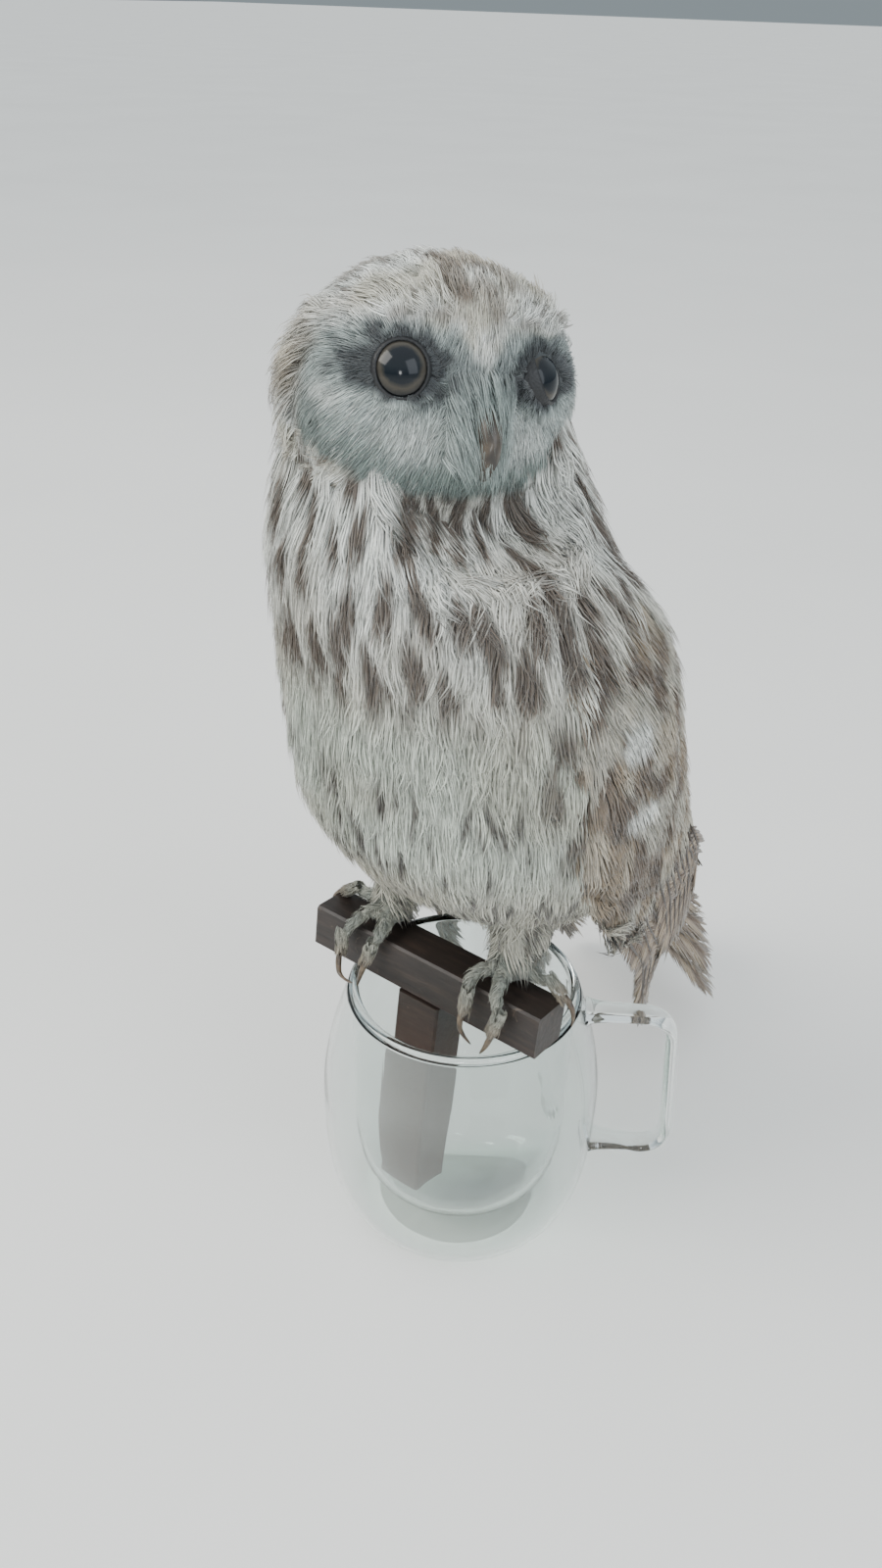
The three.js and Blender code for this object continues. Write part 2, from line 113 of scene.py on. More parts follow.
def ramp(tree, factor, *stops):
    """A colour ramp through (position, hex) stops."""
    node = add_node(tree, "ShaderNodeValToRGB", {"Fac": factor})
    elements = node.color_ramp.elements
    while len(elements) < len(stops):
        elements.new(1.0)
    for element, (position, code) in zip(elements, stops):
        element.position = position
        element.color = (*linear(code), 1)
    return node.outputs["Color"]


def object_coordinates(tree, scale=(1, 1, 1), rotation=(0, 0, 0), location=(0, 0, 0)):
    """Object coordinates, moved by a Mapping node."""
    place = add_node(tree, "ShaderNodeTexCoord").outputs["Object"]
    mapping = add_node(tree, "ShaderNodeMapping", {
        "Vector": place, "Scale": scale, "Rotation": rotation, "Location": location})
    return mapping.outputs["Vector"]


def noise(tree, vector, scale, detail, **inputs):
    """A noise texture's factor."""
    values = {"Vector": vector, "Scale": scale, "Detail": detail, **inputs}
    return add_node(tree, "ShaderNodeTexNoise", values).outputs["Fac"]


FLOOR_HALF = 30.0
floor_mesh = bpy.data.meshes.new("floor")
floor_mesh.from_pydata(
    [(x * FLOOR_HALF, y * FLOOR_HALF, 0) for x, y in ((-1, -1), (1, -1), (1, 1), (-1, 1))],
    [], [(0, 1, 2, 3)])
floor = bpy.data.objects.new("floor", floor_mesh)
bpy.context.scene.collection.objects.link(floor)
floor_paint, tree, surface = new_material("matt_studio_floor", Base_Color="#f0efec", Roughness=0.75)
mottle = noise(tree, object_coordinates(tree), 3.0, 4.0)
tree.links.new(ramp(tree, mottle, (0.3, "#eeedea"), (0.7, "#f3f2ef")), surface.inputs["Base Color"])
floor_mesh.materials.append(floor_paint)

world = bpy.data.worlds.new("room")
bpy.context.scene.world = world
world.use_nodes = True
tree = world.node_tree
height = add_node(tree, "ShaderNodeSeparateXYZ", {
    "Vector": add_node(tree, "ShaderNodeTexCoord").outputs["Generated"]}).outputs["Z"]
walls = ramp(tree, height, (0.0, "#7d878c"), (0.12, "#a9b4b9"), (0.45, "#e6eff3"), (1.0, "#f4f8fa"))
tree.links.new(walls, tree.nodes["Background"].inputs["Color"])
tree.nodes["Background"].inputs["Strength"].default_value = 1.25


def window_light(name, place, aim, size, power, colour):
    """A soft rectangular light. Places and size are in metres, power in watts."""
    data = bpy.data.lights.new(name, "AREA")
    data.shape = "RECTANGLE"
    data.size, data.size_y = size
    data.energy = power
    data.color = linear(colour)
    lamp = bpy.data.objects.new(name, data)
    lamp.location = place
    lamp.rotation_euler = (Vector(aim) - Vector(place)).to_track_quat("-Z", "Y").to_euler()
    bpy.context.scene.collection.objects.link(lamp)


window_light("window", (-0.9, -1.1, 1.5), (0, 0, 0.2), (1.1, 1.1), 28, "#fffcf6")
window_light("side_window", (1.3, -0.2, 0.9), (0, 0, 0.2), (0.9, 1.2), 9, "#f2f7ff")
window_light("catch_light", (0.24, -0.37, 0.37), (0, 0, 0.3), (0.05, 0.07), 0.22, "#ffffff")


# ------------------------------------------------------------------------------- perch
# A square batten on a square post, stained nearly black. It is old: the stain is scuffed
# pale in small patches. From just above the mug's rim down to its foot, the post is browner.
def bumped(tree, surface, height, strength, distance):
    """Roughens a surface by a height. The distance is in metres."""
    bump = add_node(tree, "ShaderNodeBump", {
        "Height": height, "Strength": strength, "Distance": distance})
    tree.links.new(bump.outputs["Normal"], surface.inputs["Normal"])


PERCH_PITCH = math.radians(-5.4)
BROWNING_HEIGHTS = (0.104, 0.07)  # where the post's browning starts and where it is full, metres
stained_wood, tree, surface = new_material("stained_beech", Roughness=0.5)
level = object_coordinates(tree, rotation=(-PERCH_PITCH, 0, 0))
drawn_out = add_node(tree, "ShaderNodeMapping", {"Vector": level, "Scale": (60, 420, 420)})
grain = noise(tree, drawn_out.outputs["Vector"], 1.0, 5.0, Roughness=0.6)
wear = noise(tree, level, 170.0, 6.0, Roughness=0.7, Distortion=0.6)
stain = ramp(tree, grain, (0.3, "#1e1815"), (0.55, "#2c231f"), (0.8, "#43362e"))
rubbed = ramp(tree, wear, (0.62, "#000000"), (0.72, "#ffffff"))
worn = add_node(tree, "ShaderNodeMix", {
    "Factor": add_node(tree, "ShaderNodeMath", {0: rubbed, 1: 0.55}, operation="MULTIPLY").outputs[0],
    "A": stain, "B": "#7a6a5c"}, data_type="RGBA")
low = add_node(tree, "ShaderNodeMapRange", {
    "Value": add_node(tree, "ShaderNodeSeparateXYZ", {"Vector": level}).outputs["Z"],
    "From Min": BROWNING_HEIGHTS[0], "From Max": BROWNING_HEIGHTS[1], "To Min": 0.0, "To Max": 0.75})
browner_below = add_node(tree, "ShaderNodeMix", {
    "Factor": low.outputs["Result"], "A": worn.outputs["Result"], "B": "#452a1e"}, data_type="RGBA")
tree.links.new(browner_below.outputs["Result"], surface.inputs["Base Color"])
bumped(tree, surface, grain, 0.35, 0.0006)
dull = add_node(tree, "ShaderNodeMapRange", {"Value": wear, "To Min": 0.38, "To Max": 0.62})
tree.links.new(dull.outputs["Result"], surface.inputs["Roughness"])
for name in ("perch_bar", "perch_post"):
    nodes[name].data.materials.clear()
    nodes[name].data.materials.append(stained_wood)


# --------------------------------------------------------------------------------- mug
# A blown borosilicate glass mug with two walls and air between them. The walls are
# fused at the rim, and a flattened rod is bent into the handle and fused on.
MUG_SIDES = 96
MUG_HEIGHT = 100
RIM_RADIUS = 40
RIM_MIDDLE = 38.5
RIM_HALF_WIDTH = 1.8
RIM_ROUNDING = 1.5
BELLY_RADIUS = 50
BELLY_HEIGHT = 56
FOOT_RADIUS = 30
GLASS_WALL = 2.0
CUP_RADIUS = 38.8
CUP_SHOULDER = 42
CUP_BOTTOM = 8
CUP_STEPS = 14
FLAT_RADIUS = 26  # of the flat floor between the two walls
clear_glass, tree, surface = new_material(
    "borosilicate_glass", Base_Color="#f2f6f5", Roughness=0.0, IOR=1.47, Transmission_Weight=1.0,
    Specular_IOR_Level=0.3)
bumped(tree, surface, noise(tree, object_coordinates(tree), 38.0, 1.0), 0.12, 0.001)
lamp_share = add_node(tree, "ShaderNodeLightPath").outputs["Is Shadow Ray"]
clear = add_node(tree, "ShaderNodeBsdfTransparent", {"Color": "#f6f9f8"})
glass_mix = add_node(tree, "ShaderNodeMixShader", {0: lamp_share})
tree.links.new(surface.outputs["BSDF"], glass_mix.inputs[1])
tree.links.new(clear.outputs["BSDF"], glass_mix.inputs[2])
tree.links.new(glass_mix.outputs["Shader"], tree.nodes["Material Output"].inputs["Surface"])


def round_rows(shape, rows, closed):
    """Faces between rows of corners, and from the last row to the first if closed."""
    for low, high in zip(rows, rows[1:] + rows[:1] if closed else rows[1:]):
        sides = max(len(low), len(high))
        for k in range(sides):
            j = (k + 1) % sides
            corners = [low[k % len(low)], low[j % len(low)], high[j % len(high)], high[k % len(high)]]
            shape.faces.new(list(dict.fromkeys(corners)))
    bmesh.ops.recalc_face_normals(shape, faces=shape.faces)


def piece(name, mesh, material, slot, *replaced):
    """Puts a finished mesh in the scene as a piece of the object."""
    made = bpy.data.objects.new(name, mesh)
    bpy.context.scene.collection.objects.link(made)
    mesh.materials.clear()
    mesh.materials.append(material)
    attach(made, "root")
    if replaced:
        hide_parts(*replaced)


def turned(name, profile):
    """A closed solid of revolution about Z from (radius, height) points, in mm. Its
    profile starts and ends on the axis."""
    shape = bmesh.new()
    rings = []
    for radius, height in profile:
        if radius < 1e-6:
            rings.append([shape.verts.new((0, 0, height * MM))])
            continue
        rings.append([
            shape.verts.new((
                radius * MM * math.cos(2 * math.pi * i / MUG_SIDES),
                radius * MM * math.sin(2 * math.pi * i / MUG_SIDES), height * MM))
            for i in range(MUG_SIDES)])
    round_rows(shape, rings, False)
    return finished(shape, name)


def finished(shape, name):
    """A smooth mesh from a bmesh."""
    for face in shape.faces:
        face.smooth = True
    mesh = bpy.data.meshes.new(name)
    shape.to_mesh(mesh)
    shape.free()
    return mesh


def mug_radius(height):
    """The outer wall's radius at a height, in mm: a belly that draws in to foot and rim."""
    if height > BELLY_HEIGHT:
        share = (height - BELLY_HEIGHT) / (MUG_HEIGHT - BELLY_HEIGHT)
        return BELLY_RADIUS - (BELLY_RADIUS - RIM_RADIUS) * share ** 1.6
    share = 1 - height / BELLY_HEIGHT
    return FOOT_RADIUS + (BELLY_RADIUS - FOOT_RADIUS) * (1 - share ** 2.8) ** (1 / 2.8)


def bowl_height(radius, bowl_radius, bottom):
    """The height of the cup's rounded bottom at a radius, in mm."""
    share = min(radius / bowl_radius, 1)
    return CUP_SHOULDER - (CUP_SHOULDER - bottom) * (1 - share ** 2.6) ** (1 / 2.6)


LIP = MUG_HEIGHT - GLASS_WALL - 0.3
PROFILE_STEPS = 26
heights = [LIP * (1 - math.cos(math.pi * i / PROFILE_STEPS)) / 2 for i in range(PROFILE_STEPS + 1)]
wall_outside = [(0, 0)] + [(mug_radius(h), h) for h in heights]
wall_inside = [
    (max(mug_radius(h) - GLASS_WALL, CUP_RADIUS + 0.3), h) for h in reversed(heights) if h > GLASS_WALL]
piece(
    "mug_outer_wall",
    turned("mug_outer_wall", wall_outside + wall_inside + [(FLAT_RADIUS, GLASS_WALL), (0, GLASS_WALL)]),
    clear_glass, "mug_glass", "mug_outer")

bowl_steps = [math.sin(math.pi / 2 * i / CUP_STEPS) for i in range(CUP_STEPS + 1)]
INNER_RADIUS = CUP_RADIUS - GLASS_WALL
cup_outside = [
    (CUP_RADIUS * s, bowl_height(CUP_RADIUS * s, CUP_RADIUS, CUP_BOTTOM)) for s in bowl_steps]
cup_inside = [
    (INNER_RADIUS * s, bowl_height(INNER_RADIUS * s, INNER_RADIUS, CUP_BOTTOM + GLASS_WALL))
    for s in reversed(bowl_steps)]
rounded_rim = [(CUP_RADIUS, LIP + 0.1), (RIM_RADIUS + 0.2, LIP + 0.3)] + [
    (RIM_MIDDLE + RIM_HALF_WIDTH * math.cos(a), MUG_HEIGHT - RIM_ROUNDING + RIM_ROUNDING * math.sin(a))
    for a in (math.pi * i / 8 for i in range(9))]
piece(
    "mug_inner_wall", turned("mug_inner_wall", cup_outside + rounded_rim + cup_inside),
    clear_glass, "mug_glass", "mug_inner")

HANDLE_TURN = math.radians(33)
HANDLE_REACH = 74
HANDLE_FLARE = 2.5
HANDLE_TOP = 90
HANDLE_BOTTOM = 27.5
HANDLE_CORNER = 11
HANDLE_HALF_WIDTH = 4.75
HANDLE_HALF_THICKNESS = 2.3
HANDLE_SIDES = 20
HANDLE_SUNK = 0.4  # how far its ends go into the wall
HANDLE_SPREAD = 0.45  # how much wider it is where it meets the wall
HANDLE_SPREAD_SHARE = 0.035  # of its length


def bent(start, corner, end, steps):
    """Points round a corner, as a quadratic bend."""
    return [
        start.lerp(corner, i / steps).lerp(corner.lerp(end, i / steps), i / steps)
        for i in range(steps + 1)]


def swept(name, path, sides, section):
    """A closed tube along a path; section(share, angle) gives its two offsets, in mm, along
    the path's outward side and across it."""
    shape = bmesh.new()
    rings = []
    across = Vector((0, 1, 0))
    for i, point in enumerate(path):
        run = (path[min(i + 1, len(path) - 1)] - path[max(i - 1, 0)]).normalized()
        outward = run.cross(across).normalized()
        ring = []
        for k in range(sides):
            thick, wide = section(i / (len(path) - 1), 2 * math.pi * k / sides)
            ring.append(shape.verts.new((point + outward * thick + across * wide) * MM))
        rings.append(ring)
    round_rows(shape, rings, False)
    shape.faces.new(rings[0])
    shape.faces.new(rings[-1])
    bmesh.ops.recalc_face_normals(shape, faces=shape.faces)
    return finished(shape, name)


def at(x, z):
    """A place in the handle's own plane, in mm."""
    return Vector((x, 0, z))


low_reach = HANDLE_REACH + HANDLE_FLARE
top_root = mug_radius(HANDLE_TOP) - HANDLE_SUNK
bottom_root = mug_radius(HANDLE_BOTTOM + 1) - HANDLE_SUNK
top_bend = (
    at(HANDLE_REACH - HANDLE_CORNER, HANDLE_TOP), at(HANDLE_REACH, HANDLE_TOP),
    at(HANDLE_REACH, HANDLE_TOP - HANDLE_CORNER))
low_bend = (
    at(low_reach, HANDLE_BOTTOM + HANDLE_CORNER), at(low_reach, HANDLE_BOTTOM),
    at(low_reach - HANDLE_CORNER, HANDLE_BOTTOM))
route = [at(top_root + (HANDLE_REACH - HANDLE_CORNER - top_root) * i / 8, HANDLE_TOP) for i in range(8)]
route += bent(*top_bend, 9)
route += [top_bend[2].lerp(low_bend[0], i / 12) for i in range(1, 12)]
route += bent(*low_bend, 9)
route += [low_bend[2].lerp(at(bottom_root, HANDLE_BOTTOM + 1), i / 8) for i in range(1, 9)]


def strap(share, angle):
    """The handle's flat oval, which spreads where it is fused to the wall."""
    spread = 1
    for from_end in (share, 1 - share):
        spread += HANDLE_SPREAD * math.exp(-from_end / HANDLE_SPREAD_SHARE)
    return (HANDLE_HALF_THICKNESS * spread * math.cos(angle),
            HANDLE_HALF_WIDTH * spread * math.sin(angle))


handle_mesh = swept("mug_handle_rod", route, HANDLE_SIDES, strap)
handle_mesh.transform(Matrix.Rotation(HANDLE_TURN, 4, "Z"))
piece("mug_handle_rod", handle_mesh, clear_glass, "mug_glass", "mug_handle")


# -------------------------------------------------------------------------------- skin
# The owl's own dried skin over the filled body: one surface from crown to toes. It lies
# inside the outline of the plumage by the depth that the feathers have there.
COAT_DEPTH = {  # mm from the outline of the plumage in to the skin
    "head": 3.4, "neck": 6.5, "trunk": 6.5, "wing_left": 4.5, "wing_right": 4.5, "tail": 2.5,
    "leg_left": 2.0, "leg_right": 2.0, "foot_left": 0.9, "foot_right": 0.9,
    "eye_left": 2.4, "eye_right": 2.4, "bill": 3.0}
FLESH = list(COAT_DEPTH)
SKIN_CELL = 1.5 * MM
WING_FLESH_LOW = 128 * MM  # below this a folded wing is only feathers
TAIL_FLESH_BACK = 62 * MM  # and behind this the tail


def welded(name, *kept_sides):
    """A CAD node's closed mesh, cut off at planes given as (point, outward normal)."""
    shape = bmesh.new()
    shape.from_mesh(nodes[name].data)
    bmesh.ops.remove_doubles(shape, verts=shape.verts, dist=1e-6)
    for point, normal in kept_sides:
        parts = shape.verts[:] + shape.edges[:] + shape.faces[:]
        bmesh.ops.bisect_plane(shape, geom=parts, plane_co=point, plane_no=normal, clear_outer=True)
        bmesh.ops.holes_fill(shape, edges=shape.edges)
    return shape


def modified(mesh, *modifiers):
    """A new mesh, as a mesh is after modifiers given as (kind, settings)."""
    made = bpy.data.objects.new("shaping", mesh)
    bpy.context.scene.collection.objects.link(made)
    for kind, settings in modifiers:
        modifier = made.modifiers.new(kind, kind)
        for key, value in settings.items():
            setattr(modifier, key, value)
    graph = bpy.context.evaluated_depsgraph_get()
    result = bpy.data.meshes.new_from_object(made.evaluated_get(graph))
    bpy.data.objects.remove(made)
    return result


def remeshed(mesh, smoothing):
    """The mesh rebuilt as one even closed surface, and smoothed."""
    return modified(
        mesh, ("REMESH", dict(mode="VOXEL", voxel_size=SKIN_CELL, use_smooth_shade=True)),
        ("SMOOTH", dict(factor=0.5, iterations=smoothing)))


def read(items, key, width, kind):
    """A row of width values for each item of a mesh."""
    values = np.empty(len(items) * width, kind)
    items.foreach_get(key, values)
    return values.reshape(-1, width)


def vertex_rows(mesh, key):
    """One row of three for each vertex: its co or its normal."""
    return read(mesh.vertices, key, 3, np.float32).astype(float)


outline_corners = []
outline_faces = []
outline_node = []
whole = bmesh.new()
for index, name in enumerate(FLESH):
    cuts = []
    if name.startswith("wing"):
        cuts = [((0, 0, WING_FLESH_LOW), (0, 0, -1))]
    elif name == "tail":
        cuts = [((0, TAIL_FLESH_BACK, 0), (0, 1, 0))]
    shape = welded(name, *cuts)
    part_mesh = bpy.data.meshes.new(name)
    shape.to_mesh(part_mesh)
    shape.free()
    whole.from_mesh(part_mesh)
    start = len(outline_corners)
    outline_corners += [v.co.copy() for v in part_mesh.vertices]
    for polygon in part_mesh.polygons:
        outline_faces.append([start + v for v in polygon.vertices])
        outline_node.append(index)
joined_flesh = bpy.data.meshes.new("flesh")
whole.to_mesh(joined_flesh)
whole.free()
outline_tree = BVHTree.FromPolygons(outline_corners, outline_faces)
outline_node = np.array(outline_node)


def nearest(tree_of, points):
    """The nearest points of a surface, its normals there, and the faces they are on."""
    places = np.empty((len(points), 3))
    normals = np.empty((len(points), 3))
    faces = np.empty(len(points), int)
    for i, point in enumerate(points.tolist()):
        place, normal, face, _ = tree_of.find_nearest(point)
        places[i] = place
        normals[i] = normal
        faces[i] = face
    return places, normals, faces


plumage_outline = remeshed(joined_flesh, 4)
on_outline = vertex_rows(plumage_outline, "co")
_, _, outline_face = nearest(outline_tree, on_outline)
depth = np.array([COAT_DEPTH[name] for name in FLESH])[outline_node[outline_face]] * MM
edges = read(plumage_outline.edges, "vertices", 2, np.int32)
for _ in range(6):  # the depth changes gently from one part to the next
    total = depth.copy()
    count = np.ones(len(depth))
    for a, b in ((0, 1), (1, 0)):
        total += np.bincount(edges[:, a], depth[edges[:, b]], len(depth))
        count += np.bincount(edges[:, a], minlength=len(depth))
    depth = total / count
sunk = on_outline - vertex_rows(plumage_outline, "normal") * depth[:, None]
plumage_outline.vertices.foreach_set("co", sunk.astype(np.float32).ravel())
skin_mesh = remeshed(plumage_outline, 6)
exterior_faces = [list(polygon.vertices) for polygon in plumage_outline.polygons]
exterior_tree = BVHTree.FromPolygons(on_outline.tolist(), exterior_faces)
exterior_part = outline_node[outline_face[[face[0] for face in exterior_faces]]]


# ---------------------------------------------------------------------------- markings
# The colours that the feathers grow in, by where they are on the body: pale face with
# dark patches round the eyes, brown drops on a cream breast that thin to fine shaft
# streaks on the belly, and brown mottled back and wings.
def shades(*codes):
    """Linear colours from sRGB hex codes."""
    return [np.array(linear(code)) for code in codes]


HEAD_CENTRE = Vector((-6.2, -18, 305))
HEAD_TURN = Euler((0, math.radians(8), math.radians(61.5)), "XYZ").to_matrix()
EYE_PLACE = Vector((18.4, -18.6, 9.6))  # in the head's frame, the left eye
WHITE, CREAM, BUFF = shades("#ecefea", "#d5d2c3", "#b3a084")
PALE_GREEN, BELLY_GREY = shades("#cdd6ca", "#b9b6a6")
DROP_BROWN, DARK_BROWN, WING_BROWN = shades("#57483b", "#372c24", "#6e5e4f")
DISC_GREY, DISC_GREEN, SLATE, RIM_GREY = shades("#b9c4c1", "#7f908a", "#22282e", "#66726e")


def lattice_noise(cells, seed):
    """A repeatable random number from 0 to 1 for each row of whole numbers."""
    hashed = (cells.astype(np.int64) * np.array([73856093, 19349663, 83492791])[:cells.shape[1]]).sum(1)
    hashed = (hashed ^ (seed * 2654435761)) & 0xFFFFFFFF
    hashed = (hashed ^ (hashed >> 15)) * 2246822519 & 0xFFFFFFFF
    hashed = (hashed ^ (hashed >> 13)) * 3266489917 & 0xFFFFFFFF
    return ((hashed ^ (hashed >> 16)) & 0xFFFF) / 65535


def cloudy(points, size, seed):
    """Smooth noise from 0 to 1 with patches of a size in mm."""
    scaled = points / size
    low = np.floor(scaled)
    share = scaled - low
    share = share * share * (3 - 2 * share)
    total = np.zeros(len(points))
    for corner in np.ndindex(2, 2, 2):
        corner = np.array(corner)
        weight = np.prod(np.where(corner, share, 1 - share), axis=1)
        total += weight * lattice_noise(low + corner, seed)
    return total


def ease(low, high, values):
    """From 0 at low to 1 at high, with a gentle start and end."""
    share = np.clip((values - low) / (high - low), 0, 1)
    return share * share * (3 - 2 * share)


def mixed(base, colour, weight):
    """Base, one colour or one for each place, with a share of another laid over it."""
    return base + (colour - base) * weight[:, None]


def drops(u, v, pitch_u, pitch_v, half_width, length, presence, seed):
    """How much each place (u across, v up, in mm) is on one of a staggered set of drops
    that hang down the feathers' shafts, from 0 to 1."""
    found = np.zeros(len(u))
    row = np.floor(v / pitch_v)
    for step_v in (-1, 0, 1):
        at_row = row + step_v
        shift = (at_row % 2) * 0.5
        column = np.floor(u / pitch_u - shift)
        for step_u in (-1, 0, 1):
            at_column = column + step_u
            cells = np.stack([at_column, at_row], axis=1)
            centre_u = (at_column + 0.5 + shift + 0.5 * (lattice_noise(cells, seed) - 0.5)) * pitch_u
            centre_v = (at_row + 0.5 + 0.6 * (lattice_noise(cells, seed + 1) - 0.5)) * pitch_v
            size = 0.65 + 0.7 * lattice_noise(cells, seed + 2)
            shown = lattice_noise(cells, seed + 3) < presence
            lean = 0.5 * (lattice_noise(cells, seed + 4) - 0.5)
            down = (centre_v - v) / (length * size) + 0.5
            inside = np.clip(down, 0, 1)
            half = 1.5 * half_width * size * inside ** 0.7 * (1 - inside) ** 0.35
            off = np.abs(u - centre_u - lean * (centre_v - v))
            mask = ease(-0.5, 0.5, (half - off) / (0.35 * half_width)) * (down > 0) * (down < 1) * shown
            found = np.maximum(found, mask)
    return found


def head_frame(points):
    """Places in mm from the head's centre: across, back and up, as the head is turned."""
    return (points - np.array(HEAD_CENTRE)) @ np.array(HEAD_TURN)


BODY_RADIUS = 60  # turns angles round the body into widths, mm
# height, and the x and y of the body's own axis there, mm
AXIS_ROWS = ((110, -3.4, 12), (200, -3.4, 5.5), (236, -3.4, -2.5), (264, -6, -12), (330, -12, -12))


def round_body(points):
    """The angle round the body's own axis, in degrees from the breast towards its left."""
    heights, middle_x, middle_y = np.array(AXIS_ROWS).T
    x = points[:, 0] - np.interp(points[:, 2], heights, middle_x)
    y = points[:, 1] - np.interp(points[:, 2], heights, middle_y)
    return np.degrees(np.arctan2(x, -y))


def body_colour(points):
    """Cream and pale green with drops and streaks in front, brown and buff behind."""
    angle = round_body(points)
    z = points[:, 2]
    u = np.radians(angle) * BODY_RADIUS
    wander = 6 * (cloudy(points, 14, 11) - 0.5)
    colour = mixed(CREAM, WHITE, ease(215, 262, z) * 0.8)
    colour = mixed(colour, PALE_GREEN, ease(150, 185, z) * (1 - ease(215, 240, z)) * 0.75)
    colour = mixed(colour, BELLY_GREY, (1 - ease(135, 180, z)) * 0.75)
    colour = mixed(colour, BUFF, 0.25 * ease(0.45, 0.8, cloudy(points, 18, 3)))
    upper = ease(222, 236, z + wander)
    broad = drops(u + wander * 0.4, z, 11.5, 18, 4.6, 17, 0.85, 21)
    colour = mixed(colour, DROP_BROWN, broad * upper * 0.95)
    sides = np.maximum(ease(42, 62, angle), ease(30, 50, -angle)) * (1 - upper) * ease(168, 190, z)
    few = drops(u, z + 9, 13, 20, 4.0, 17, 0.75, 41)
    colour = mixed(colour, DROP_BROWN, few * sides * 0.95)
    belly = (1 - ease(196, 214, z)) * (1 - 0.75 * sides)
    streaks = drops(u * (1.1 - 0.1 * ease(120, 180, z)), z, 7.5, 14, 1.5, 13, 0.8, 61)
    colour = mixed(colour, DARK_BROWN, streaks * belly * 0.95)
    back = ease(112, 140, np.abs(angle))
    mottle = ease(0.35, 0.65, cloudy(points, 7, 5))
    colour = mixed(colour, mixed(WING_BROWN, BUFF, mottle * 0.7), back)
    bars = drops(u, z, 14, 17, 4.2, 15, 0.8, 81)
    colour = mixed(colour, DARK_BROWN, bars * back * 0.6)
    under = (1 - ease(126, 138, z)) * (np.abs(angle) < 110)
    spots = ease(0.62, 0.72, cloudy(points, 5, 9))
    return mixed(colour, DARK_BROWN, under * spots * 0.5)


def disc_place(local):
    """How far out a place is on the facial disc (1 at its rim), and how far in front."""
    spread = (np.abs(local[:, 0] / 40) ** 3 + np.abs((local[:, 2] - 1.5) / 21) ** 3) ** (1 / 3)
    return spread, ease(0, 8, -local[:, 1])


def head_colour(points):
    """Grey-white disc, dark patches round the eyes, white brow, and buff flecked crown."""
    local = head_frame(points)
    outward = np.abs(local[:, 0]) - EYE_PLACE.x
    above = local[:, 2] - EYE_PLACE.z
    rough = cloudy(points, 3, 15) - 0.5
    fine = cloudy(points, 1.6, 16) - 0.5
    crown = mixed(CREAM, WHITE, ease(0.3, 0.7, cloudy(points, 9, 13)))
    crown = mixed(crown, BUFF, 0.4 * ease(0.5, 0.75, cloudy(points, 12, 17)))
    crown = mixed(crown, WING_BROWN, 0.55 * ease(0.6, 0.75, cloudy(points, 5, 19)))
    forehead = np.hypot((local[:, 0] + 5.6) / 3.6, (local[:, 2] - 31) / 5.2) + 0.8 * rough
    crown = mixed(crown, WING_BROWN, 0.75 * (1 - ease(0.7, 1.15, forehead)) * (local[:, 1] < 0))
    nape = ease(2, 20, local[:, 1])
    crown = mixed(crown, DROP_BROWN, nape * (0.2 + 0.65 * ease(0.4, 0.6, cloudy(points, 5, 23))))
    slanted = local[:, 2] + 0.35 * np.clip(local[:, 1], 0, 40)
    throat = (1 - ease(-20, -14, slanted)) * (1 - ease(0, 20, local[:, 1]))
    crown = mixed(crown, body_colour(points), throat)
    spread, front = disc_place(local)
    face = mixed(DISC_GREY, WHITE, 0.5 * np.exp(-((outward + 2) / 9) ** 2 - ((above + 15) / 6) ** 2))
    face = mixed(face, WHITE, 0.8 * np.exp(-((outward - 17) / 3.5) ** 2 - ((above + 8) / 2.5) ** 2))
    by_bill = np.exp(-(local[:, 0] / 10) ** 2) * (1 - ease(8, 14, local[:, 2]))
    face = mixed(face, DISC_GREEN, by_bill * 0.55)
    low = 1 - ease(-12, 4, local[:, 2])
    face = mixed(face, DISC_GREEN, ease(0.5, 0.85, spread + 0.2 * rough) * low * 0.9)
    face = mixed(face, RIM_GREY, ease(0.82, 0.97, spread + 0.2 * rough) * (0.35 + 0.35 * low))
    face = mixed(face, RIM_GREY, ease(0.1, 0.3, fine) * 0.35)
    between = np.exp(-((np.abs(local[:, 0]) - 6) / 5.5) ** 2 - ((local[:, 2] - 12) / 7) ** 2)
    face = mixed(face, SLATE, between * 0.45)
    brow = ease(9, 14, above + 7.5 * np.exp(-(local[:, 0] / 5) ** 2) + 2 * rough)
    face = mixed(face, mixed(CREAM, WHITE, ease(0.35, 0.65, cloudy(points, 4, 18))), brow)
    reach = np.hypot(
        (outward + 0.5) / np.where(outward > -0.5, 17.5, 11), (above - 1) / np.where(above > 1, 10.5, 8.2))
    patch = 1 - ease(0.68, 1.12, reach + 0.5 * rough)
    face = mixed(face, SLATE, patch * 0.95)
    on_face = front * (1 - ease(0.96, 1.04, spread + 0.1 * rough))
    return mixed(crown, face, on_face)


